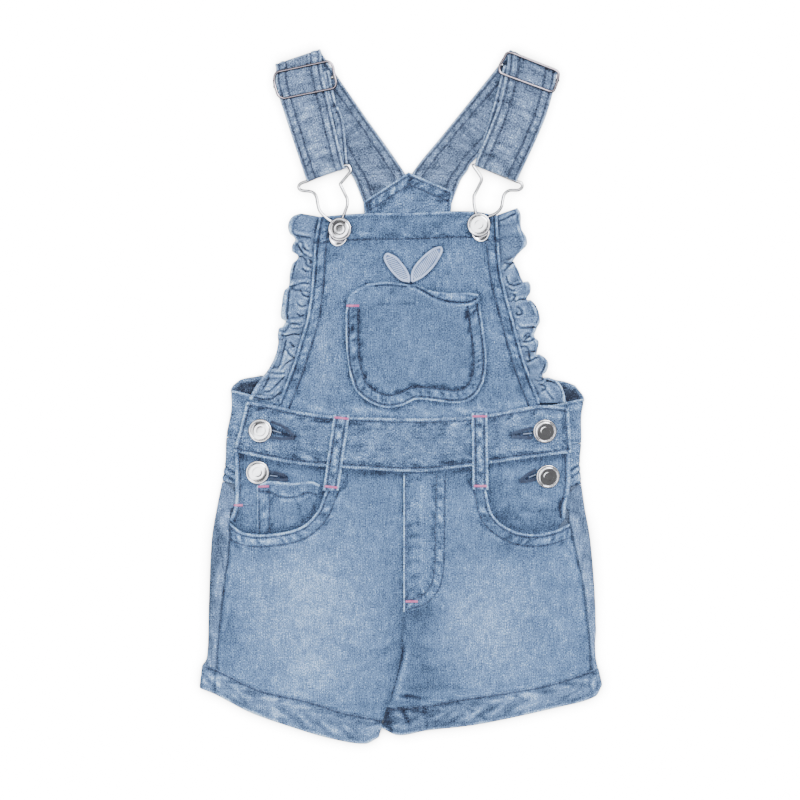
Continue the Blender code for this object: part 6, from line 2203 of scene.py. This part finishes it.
@dataclass
class Back:
    """Back panel under the bib, and the patch that holds the straps' ends."""

    def build(self) -> None:
        """Make the back's pieces."""
        self.panel()
        self.yoke_patch()

    def panel(self) -> None:
        """Back panel, from the back waistband up to the patch."""
        v = spread(120.0, 4.0, 1.5, 5.0)
        u = spread(150.0, 4.0, 1.5, 5.0)
        left, right = (Path(BACK_PANEL_EDGE[side]).at(v) for side in Side)
        flat = left[:, None] * (1 - u)[None, :, None] + right[:, None] * u[None, :, None]
        rims = {side: Path(BACK_WAIST_TOP[side]) for side in Side}
        x = flat[..., 0]
        rim = np.where(x < 0, rims[Side.LEFT].cross(x, 0), rims[Side.RIGHT].cross(x, 0)) + GAP + 0.2
        share = np.clip(1.0 - v[:, None] * 3.3, 0.0, 1.0)
        flat[..., 1] = flat[..., 1] * (1 - share) + np.maximum(rim,
            rim * share + flat[..., 1] * (1 - share)) * share
        grid = np.dstack((flat, np.full(x.shape, BACK_LEVEL)))
        sheet = Sheet("back_panel_cloth", grid, CLOTH, "band_denim", "panel_denim", ("back_panel",),
            slack=0.0,
                      shade=-0.1, inside=0.0, seed=71.0)
        sheet.build()

    def yoke_patch(self) -> None:
        """Pointed patch on the back's inside."""
        top = Path(*YOKE_TOP)
        bottom = Path(YOKE_BOTTOM)
        left, right = Path((top.points[0], bottom.points[0])), Path((top.points[-1],
            bottom.points[-1]))
        count = 45
        u, v = np.linspace(0, 1, 2 * count + 1), spread(22.0, 0.9, 0.6, 8.0)
        shares = np.interp(u, (0.0, 0.5, 1.0), (0.0, top.places[1] / top.length, 1.0))
        flat = coons(top.at(shares), bottom.at(u), left.at(v), right.at(v), u, v)
        grid = np.dstack((flat, np.full(flat.shape[:2], CLOTH + GAP)))
        sheet = Sheet("yoke_patch_cloth", grid, CLOTH, "band_denim", "band_denim", ("yoke_patch",),
            soft_edge=1.1,
                      slack=0.1, seed=73.0, rests_on=("back_panel_cloth",))
        for k, line in enumerate(YOKE_TOP):
            sheet.sew(top_stitch(Path(line), (2.1, 7.4), 0.26, -0.36, 0.18, 3 + k, 1.5, 1.5))
        for k, line in enumerate((left, right)):
            sheet.sew(top_stitch(line, (2.1,), 0.2, -0.34, 0.12, 6 + k))
        sheet.make()


# ---------------------------------------------------------------- straps and hardware

@dataclass
class Strap:
    """Shoulder strap: one strip up the back, over the fold, down the front and back up inside."""

    side: Side
    width: float = 28.0
    rows_at: tuple[float, float] = (2.0, 6.4)
    bend_steps: int = 12

    def rows(self) -> tuple[np.ndarray, float, float]:
        """Both edges and the height at close steps, and where the two folds lie along the strip."""
        side = self.side
        ax, ay, bx, by = STRAP_FOLD[side]
        span = math.hypot(bx - ax, by - ay)
        up = np.array((-(by - ay) / span, (bx - ax) / span))
        up = up if up[1] > 0 else -up
        middle, radius = (BACK_RUN + OUTER_RUN) / 2, (OUTER_RUN - BACK_RUN) / 2
        angle = np.pi * np.arange(self.bend_steps + 1) / self.bend_steps
        out = (radius * np.sin(angle) - radius - CLOTH / 2)[:, None]
        bend = np.hstack(((ax, ay) + up * out, (bx, by) + up * out,
                          (middle - radius * np.cos(angle))[:, None]))
        back = np.array([row + (BACK_RUN,) for row in STRAP_BACK[side]])
        front = np.array([row + (OUTER_RUN,) for row in STRAP_FRONT[side]])
        inner = np.array([row + (INNER_RUN,) for row in STRAP_INNER[side]])
        t = (np.arange(1, self.bend_steps) / self.bend_steps)[:, None]
        angle = np.pi * np.arange(1, self.bend_steps) / self.bend_steps
        lower = front[-1, :4] * (1 - t) + inner[0, :4] * t
        lower[:, (1, 3)] -= ((OUTER_RUN - INNER_RUN) / 2 * np.sin(angle))[:, None]
        lower = np.hstack((lower, ((OUTER_RUN + INNER_RUN) / 2
                                   + (OUTER_RUN - INNER_RUN) / 2 * np.cos(angle))[:, None]))
        back_run = Path(np.vstack((back, bend[:1]))).at(np.linspace(0, 1, 66))
        front_run = Path(np.vstack((bend[-1:], front))).at(np.linspace(0, 1, 62))
        inner_run = Path(inner).at(np.linspace(0, 1, 44))
        first = len(back_run) - 1
        second = first + len(bend) + len(front_run) - 1
        return np.vstack((back_run[:-1], bend, front_run[1:], lower, inner_run)), first, second

    def build(self) -> None:
        """Make the strap."""
        side = self.side
        name = f"strap_{side.value}"
        rows, first, second = self.rows()
        u = spread(self.width, 1.1, 0.6, 9.0)
        a, b, z = rows[:, None, :2], rows[:, None, 2:4], rows[:, 4]
        flat = a * (1 - u[None, :, None]) + b * u[None, :, None]
        grid = np.dstack((flat, np.tile(z[:, None], (1, len(u)))))
        centre = grid[:, len(u) // 2]
        s = np.concatenate(([0.0], np.cumsum(np.linalg.norm(np.diff(centre, axis=0), axis=1))))
        chart = np.dstack((np.tile(u[None] * self.width, (len(s), 1)),
            np.tile(s[:, None], (1, len(u)))))
        cup = 0.35 * (1 - (2 * u - 1) ** 2)
        grid[..., 2] += cup[None] * rise(z, 4.4, 5.7)[:, None]
        reach = rise(s, s[-1] - 30.0, s[-1] - 14.0) * (np.arange(len(s)) > second)
        grid[..., 2] += 2.5 * rise(u * self.width, 6.5, 4.0)[None] * reach[:, None]
        notch = float(s[-1] - 24.0)
        sheet = Sheet(name + "_cloth", grid, CLOTH, "strap_denim", "strap_denim", (name,), chart,
            middle=True,
                      double=True, slack=0.0, soft_edge=0.9, held="folded", seed=81.0 + side.sign,
                      rests_on=(f"slider_bar_{side.value}_wire", f"hook_{side.value}_wire"))
        fold, turn, total = s[first] + 4.0, s[second], s[-1]
        for k, edge in enumerate((0.0, self.width)):
            line = Path(((edge, 0.0), (edge, total)))
            marks, _ = top_stitch(line, self.rows_at, 0.24, -0.52, 0.12, 3 + 4 * k)
            sheet.marks += marks
            for away in self.rows_at:
                sheet.rows += [
                    Row(line, away, 1, total - fold, face=Face.IN),
                    Row(line, away, fold, total - turn - 3, face=Face.OUT),
                    Row(line, away, turn + 4, 0.5, face=Face.IN),
                ]
        sheet.marks += [
            Mark(Path(((0, s[first] + 4), (self.width, s[first] + 4))), 0, 2.2, 0, 0.12, 0.6, 5,
                seed=9),
            Mark(Path(((0, turn + 2), (self.width, turn + 2))), 0, 2.4, 0, 0.14, 0.6, 5, seed=10),
            Mark(Path(((0, turn - 9), (self.width, turn - 8))), 0, 1.6, -0.1, -0.06, 0.8, 5,
                seed=11),
            Mark(Path(((0, total), (self.width, total))), 1, 1.2, 0.1, 0.2, 0.4, 5, seed=12),
            # A sunk line painted dark at the inner layer's turned end, painted shade, with a pale
            # rim beside it.
            Mark(Path(((0, notch), (self.width, notch - 1))), 0, 1.2, -0.6, -0.5, 0.1, 5, seed=13),
            Mark(Path(((0, notch - 2.6), (self.width, notch - 3.6))), 0, 0.9, 0.2, 0.22, 0.2, 5,
                seed=14),
        ]
        for k, place in enumerate(np.arange(s[first] + 12.0, turn, 13.0)):
            sheet.wash_and_shade.append(WashAndShade((14 + 4 * math.sin(k * 2.1), place), (7, 2.6), -0.14,
                turn=8 * math.sin(k)))
        for k, place in enumerate(np.arange(20.0, s[first] - 6.0, 15.0)):
            sheet.wash_and_shade.append(WashAndShade((14 - 4 * math.sin(k * 1.7), place), (8, 3.4), -0.1,
                turn=10 * math.sin(k + 2)))
        back_run = rise(s, s[first], s[first] - 8.0)[:, None] * np.ones((1, len(u)))
        paler = 0.08 if side is Side.LEFT else 0.03
        sheet.extra_shade = paler * (1 - back_run)
        sheet.make()


def take_mesh(name: str) -> bpy.types.Mesh:
    """The active object's mesh under its final name, without the object."""
    maker, shaped = bpy.context.object, bpy.context.object.data
    mesh = shaped.copy()
    bpy.data.objects.remove(maker, do_unlink=True)
    bpy.data.meshes.remove(shaped)
    mesh.name = name
    return mesh


def bend_wire(name: str, points: np.ndarray, diameter: float, slot: str, nodes: Iterable[str],
              closed: bool = False, finish: str = "silver_metal") -> None:
    """Bend a round wire along points.

    Args:
        name: name of the piece.
        points: N x 3 in millimetres.
        diameter: of the wire in millimetres.
        slot: material slot.
        nodes: CAD nodes that it stands for.
        closed: True joins the ends.
        finish: name of its material.
    """
    bpy.ops.object.select_all(action="DESELECT")
    bpy.ops.curve.primitive_nurbs_path_add(location=(0.0, 0.0, 0.0))
    wire = bpy.context.object
    data = wire.data
    data.splines.clear()
    data.dimensions = "3D"
    data.bevel_depth, data.bevel_resolution, data.use_fill_caps = diameter / 2 * MM, 4, True
    spline = data.splines.new("POLY")
    spline.points.add(len(points) - 1)
    spline.points.foreach_set("co", np.column_stack((points * MM, np.ones(len(points)))).ravel())
    spline.use_cyclic_u = closed
    bpy.ops.object.convert(target="MESH")
    mesh = take_mesh(name)
    mesh.shade_smooth()
    add_piece(mesh, finish, slot, nodes)


class Shaper:
    """A round primitive shaped in edit mode, one inset after another."""

    def __init__(self, name: str, radius: float, depth: float, place: Sequence[float],
        sides: int = 56) -> None:
        """Add a cylinder at its size and place, in millimetres.

        Args:
            name: name of the piece.
            radius: of the cylinder.
            depth: height of the cylinder.
            place: middle of its foot.
            sides: number of its sides.
        """
        bpy.ops.object.select_all(action="DESELECT")
        bpy.ops.mesh.primitive_cylinder_add(
            vertices=sides, radius=radius * MM, depth=depth * MM,
            location=(place[0] * MM, place[1] * MM, (place[2] + depth / 2) * MM))
        self.object = bpy.context.object
        self.object.name = self.object.data.name = name
        bpy.ops.object.transform_apply(location=True, rotation=True, scale=True)

    def choose(self, up: float) -> None:
        """Select the face that points up (1) or down (-1), in edit mode."""
        mesh = self.object.data
        for group in (mesh.vertices, mesh.edges, mesh.polygons):
            group.foreach_set("select", np.zeros(len(group), bool))
        face = max(mesh.polygons, key=lambda f: f.normal.z * up * f.area)
        face.select = True
        bpy.ops.object.mode_set(mode="EDIT")
        bpy.ops.mesh.select_mode(type="FACE")

    def steps(self, up: float, steps: Sequence[tuple[float, float]]) -> None:
        """Inset the chosen face by each step's width and lift it by its rise, in millimetres."""
        self.choose(up)
        for width, lift in steps:
            bpy.ops.mesh.inset(thickness=width * MM, depth=0.0)
            bpy.ops.transform.translate(value=(0.0, 0.0, lift * MM))
        bpy.ops.object.mode_set(mode="OBJECT")

    def lean(self, degrees: tuple[float, float], foot: Sequence[float]) -> None:
        """Lean what stands above the foot, in millimetres, to the right and up by small angles."""
        for vertex in self.object.data.vertices:
            away = vertex.co / MM - Vector(foot)
            tip = away.x * math.radians(degrees[0]) + away.y * math.radians(degrees[1])
            vertex.co.z -= tip * MM

    def finish(self, slot: str, nodes: Iterable[str], finish: str, angle: float = 50.0) -> None:
        """Smooth the piece and link it with its finish."""
        bpy.ops.object.select_all(action="DESELECT")
        self.object.select_set(True)
        bpy.context.view_layer.objects.active = self.object
        bpy.ops.object.shade_smooth_by_angle(angle=math.radians(angle))
        add_piece(take_mesh(self.object.name), finish, slot, nodes)


@dataclass
class Button:
    """Jeans button: a rolled rim, a channel and a low dome with a fine ring."""

    name: str
    place: tuple[float, float]
    level: float
    diameter: float
    lean: tuple[float, float] = (0.0, 0.0)     # degrees that the face leans to the right and up
    body: float = 1.5
    foot: float = 0.35     # height of the body's underside over the level
    # Steps inwards as shares of the radius, and upwards in millimetres: rim, channel, dome, ring
    FACE = (
        (0.02, 0.3), (0.03, 0.24), (0.03, 0.1), (0.05, 0.01), (0.03, -0.1), (0.02, -0.28),
        (0.015, -0.1), (0.02, 0.02), (0.015, 0.12), (0.03, 0.12), (0.06, 0.06), (0.12, 0.08),
        (0.14, 0.06), (0.03, -0.05), (0.02, 0.05), (0.12, 0.03), (0.12, 0.01),
    )
    SHANK = ((0.05, -0.15), (0.45, -0.1), (0.04, -0.1))

    def build(self) -> None:
        """Make the button."""
        r, foot = self.diameter / 2, (*self.place, self.level + self.foot)
        cap = Shaper(self.name + "_cap", r, self.body, foot)
        cap.steps(1.0, tuple((r * share, lift) for share, lift in self.FACE))
        cap.steps(-1.0, tuple((r * share, lift) for share, lift in self.SHANK))
        cap.lean(self.lean, foot)
        cap.finish("silver_metal", (self.name,), "button_metal", 60.0)


@dataclass
class Slider:
    """Wire slider: a frame over the strap and a bar with ball ends under it."""

    side: Side
    wire: float = 1.95
    bar: float = 1.2
    ball: float = 1.5

    def build(self) -> None:
        """Make the frame and the bar."""
        side = self.side
        height = OUTER_RUN + CLOTH / 2 + GAP + self.wire / 2 + 0.1
        line = Path(*SLIDERS[side]).at(np.linspace(0.0, 1.0, 121)[:-1])
        bend_wire(f"slider_frame_{side.value}_wire",
            np.column_stack((line, np.full(len(line), height))), self.wire,
                  "silver_metal", (f"slider_frame_{side.value}",), closed=True,
                  finish="slider_metal")
        start, end = (np.array(p) for p in SLIDER_BARS[side])
        span = float(np.linalg.norm(end - start))
        along = (end - start) / span
        centre_z = (INNER_RUN + OUTER_RUN) / 2
        share = np.array((1.6, span - 1.6))
        line = np.column_stack((start + along * share[:, None], (centre_z, centre_z)))
        bend_wire(f"slider_bar_{side.value}_wire", Path(line,
            smooth=False).at(np.linspace(0, 1, 12)), self.bar,
                  "silver_metal", (f"slider_bar_{side.value}",), finish="slider_metal")
        for k, place in enumerate((start + along * 1.4, end - along * 1.4)):
            bpy.ops.object.select_all(action="DESELECT")
            bpy.ops.mesh.primitive_uv_sphere_add(segments=24, ring_count=14, radius=self.ball * MM,
                                                 location=(place[0] * MM, place[1] * MM,
                                                     centre_z * MM))
            bpy.ops.object.transform_apply(location=True, rotation=True, scale=True)
            mesh = take_mesh(f"slider_ball_{side.value}_{k}")
            mesh.shade_smooth()
            add_piece(mesh, "silver_metal", "silver_metal")


@dataclass
class Hook:
    """Wire bib hook and the keyhole plate under its button."""

    side: Side
    wire: float = 2.15
    plate: float = 0.8
    tilt: float = 0.24     # radians that the plate is turned by, outwards
    sides: int = 48
    # The plate's outline about its button: ear, round foot, ear
    OUTLINE = (
        ((-7, 0.4), (-7.7, -2.4), (-6.2, -4)),
        ((-6.2, -4), (-5.6, -7.6), (-3.2, -10.6), (0, -11.7), (3.2, -10.6), (5.6, -7.6), (6.2, -4)),
        ((6.2, -4), (7.7, -2.4), (7, 0.4)),
    )

    def build(self) -> None:
        """Make the wire and the plate."""
        side = self.side
        place = BIB_BUTTONS[side]
        low = float(bib_level(*map(np.float64, place))) + BAND + GAP
        route = Path(*HOOK_WIRES[side]).at(np.linspace(0, 1, 190))
        share = rise(route[:, 1], 126.0, 142.0)
        z = (low + self.wire / 2 + 0.1) * (1 - share) + BAR_HEIGHT * share
        bend_wire(f"hook_{side.value}_wire", np.column_stack((route, z)), self.wire, "silver_metal",
                  (f"hook_wire_{side.value}",))
        tilt = side.sign * self.tilt
        rim = Path(*self.OUTLINE).at(np.linspace(0, 1, self.sides))
        turn = np.array(((math.cos(tilt), -math.sin(tilt)), (math.sin(tilt), math.cos(tilt))))
        rim = rim @ turn.T + place
        plate = Shaper(f"hook_plate_{side.value}_metal", 6.0, self.plate, (*place, low), self.sides)
        mesh = plate.object.data
        ring = sorted(mesh.vertices, key=lambda v: (round(v.co.z, 6),
            math.atan2(v.co.y - place[1] * MM, v.co.x - place[0] * MM)))
        centre = rim.mean(axis=0)
        order = np.argsort(np.arctan2(rim[:, 1] - centre[1], rim[:, 0] - centre[0]))
        for k, vertex in enumerate(ring):
            vertex.co.x, vertex.co.y = rim[order[k % self.sides]] * MM
        mesh.update()
        plate.steps(1.0, ((0.35, 0.08), (0.6, 0.0), (0.35, -0.16)))
        plate.finish("silver_metal", (f"hook_plate_{side.value}",), "silver_metal", 30.0)


# ---------------------------------------------------------------- stage

@dataclass
class Stage:
    """Pale floor, soft studio light and the camera straight above."""

    height: float = 1.8
    picture_width: float = 0.544
    centre: tuple[float, float] = (-0.34, -2.72)
    sensor: float = 36.0
    floor_glow: float = 16.0
    sky_glow: float = 1.55
    mirror_glow: float = 4.5

    def build(self) -> None:
        """Make the stage."""
        self.camera()
        self.floor()
        self.lights()
        self.world()

    def camera(self) -> None:
        """Camera looking straight down with +Y up."""
        data = bpy.data.cameras.new("camera")
        data.sensor_width = self.sensor
        data.lens = self.sensor * self.height / self.picture_width
        data.clip_start, data.clip_end = 0.05, 50.0
        camera = bpy.data.objects.new("camera", data)
        camera.location = (self.centre[0] * MM, self.centre[1] * MM, self.height)
        bpy.context.scene.collection.objects.link(camera)
        bpy.context.scene.camera = camera

    def floor(self) -> None:
        """White sweep under the garment; it glows for the camera alone, its glow dimmed by ambient
        occlusion near the garment into a painted contact shadow.
        """
        bpy.ops.object.select_all(action="DESELECT")
        bpy.ops.mesh.primitive_plane_add(size=8.0, location=(0.0, 0.0, -0.0002))
        floor = bpy.context.object
        floor.name = "floor"
        nodes = Nodes("floor_white")
        nodes.fix(Base_Color=(0.42, 0.42, 0.43, 1.0), Roughness=0.9, Specular_IOR_Level=0.1,
                  Emission_Color=(1.0, 1.0, 1.0, 1.0))
        open_sky = nodes.add("AmbientOcclusion", {"samples": 16}, Distance=0.009).outputs["AO"]
        seen = nodes.add("LightPath").outputs["Is Camera Ray"]
        glow_with_painted_shadow = nodes.maths("MULTIPLY", nodes.maths("POWER", open_sky, 2.0), self.floor_glow)
        nodes.tree.links.new(nodes.maths("MULTIPLY", glow_with_painted_shadow, seen),
            nodes.shader.inputs["Emission Strength"])
        floor.data.materials.append(nodes.material)

    def lights(self) -> None:
        """A large key from the upper right and a fill from the left."""
        for name, place, size, power in (
            ("key", (0.9, 1.0, 1.5), 1.1, 34.0), ("fill", (-1.3, 0.2, 1.3), 1.6, 12.0),
            ("overhead", (0.1, -0.1, 2.3), 1.2, 22.0),
        ):
            data = bpy.data.lights.new(name, "AREA")
            data.shape, data.size, data.energy = "DISK", size, power
            lamp = bpy.data.objects.new(name, data)
            lamp.location = place
            lamp.visible_glossy = name != "overhead"
            lamp.rotation_euler = (-Vector(place)).to_track_quat("-Z", "Y").to_euler()
            bpy.context.scene.collection.objects.link(lamp)

    def world(self) -> None:
        """Soft light from above; the camera sees white, and polished metal a bright room."""
        world = bpy.data.worlds.new("studio")
        bpy.context.scene.world = world
        world.use_nodes = True
        tree = Tree(world.node_tree)

        def greys(*stops: tuple[float, float]) -> list:
            """Stops of a ramp, a trace cooler than grey."""
            return [(where, (v, v, v * 1.01, 1.0)) for where, v in stops]

        def eased(value: Socket, *limits: float) -> Socket:
            """A value mapped from the first two limits to the last two."""
            names = ("From_Min", "From_Max", "To_Min", "To_Max")
            return tree.add("MapRange", None, Value=value,
                **dict(zip(names, limits))).outputs["Result"]

        place = tree.add("TexCoord").outputs["Generated"]
        height = tree.add("SeparateXYZ", None, Vector=place).outputs["Z"]
        card = tree.add("VectorMath", {"operation": "DOT_PRODUCT"}, i0=place, i1=(0.72, -0.69, 0.0))
        aside = tree.maths("ABSOLUTE", card.outputs["Value"])
        high = eased(height, 0.40, 0.62, 0.0, 1.0)
        dark = eased(tree.maths("MULTIPLY", aside, high), 0.13, 0.25, 1.0, 0.03)
        room = tree.ramp(height, greys((0.0, 0.40), (0.45, 0.44), (0.72, 0.9), (1.0, 1.0)))
        light = tree.ramp(height, greys((0.0, 0.30), (0.35, 0.22), (0.66, 0.70), (1.0, 1.0)))
        bright = tree.maths("MULTIPLY", dark, self.mirror_glow)
        soft, mirrored, white = (
            tree.add("Background", None, Color=colour, Strength=power).outputs[0]
            for colour, power in ((light, self.sky_glow), (room, bright),
                                  ((1.0, 1.0, 1.0, 1.0), self.floor_glow)))
        path = tree.add("LightPath").outputs
        lit = tree.add("MixShader", None, i0=path["Is Glossy Ray"], i1=soft, i2=mirrored).outputs[0]
        seen = tree.add("MixShader", None, i0=path["Is Camera Ray"], i1=lit, i2=white).outputs[0]
        tree.tree.links.new(seen, world.node_tree.nodes["World Output"].inputs[0])


def main() -> None:
    """Build the garment and its stage."""
    logging.basicConfig(level=logging.INFO, format="%(name)s: %(message)s")
    Stage().build()
    Back().build()
    for side in Side:
        Leg(side).build()
        Hip(side).build()
    Fly().build()
    Waist().build()
    Bib().build()
    for side in Side:
        Ruffle(side).build()
        Strap(side).build()
        Slider(side).build()
        Hook(side).build()
        x, y = (np.float64(value) for value in BIB_BUTTONS[side])
        lean = (-3.6, 4.0) if side is Side.LEFT else (1.0, -1.0)
        Button(f"bib_button_{side.value}", (x, y), float(bib_level(x, y)) + BAND + GAP + 0.8 + GAP,
            15.8, lean).build()
    for name, place in SIDE_BUTTONS.items():
        x, y = (np.float64(value) for value in place)
        if name.endswith("upper"):
            level = float(waist_level(x, y)) + BAND + GAP + 0.05
        else:
            level = float(facing_level(x, y)) + LIGHT_CLOTH + GAP + 0.05
        lean = {"left_upper": (-3.0, 2.0), "left_lower": (2.6, -3.0)}.get(name, (7.0, -8.0))
        Button(f"side_button_{name}", place, level, 16.0, lean).build()


if __name__ == "__main__":
    main()
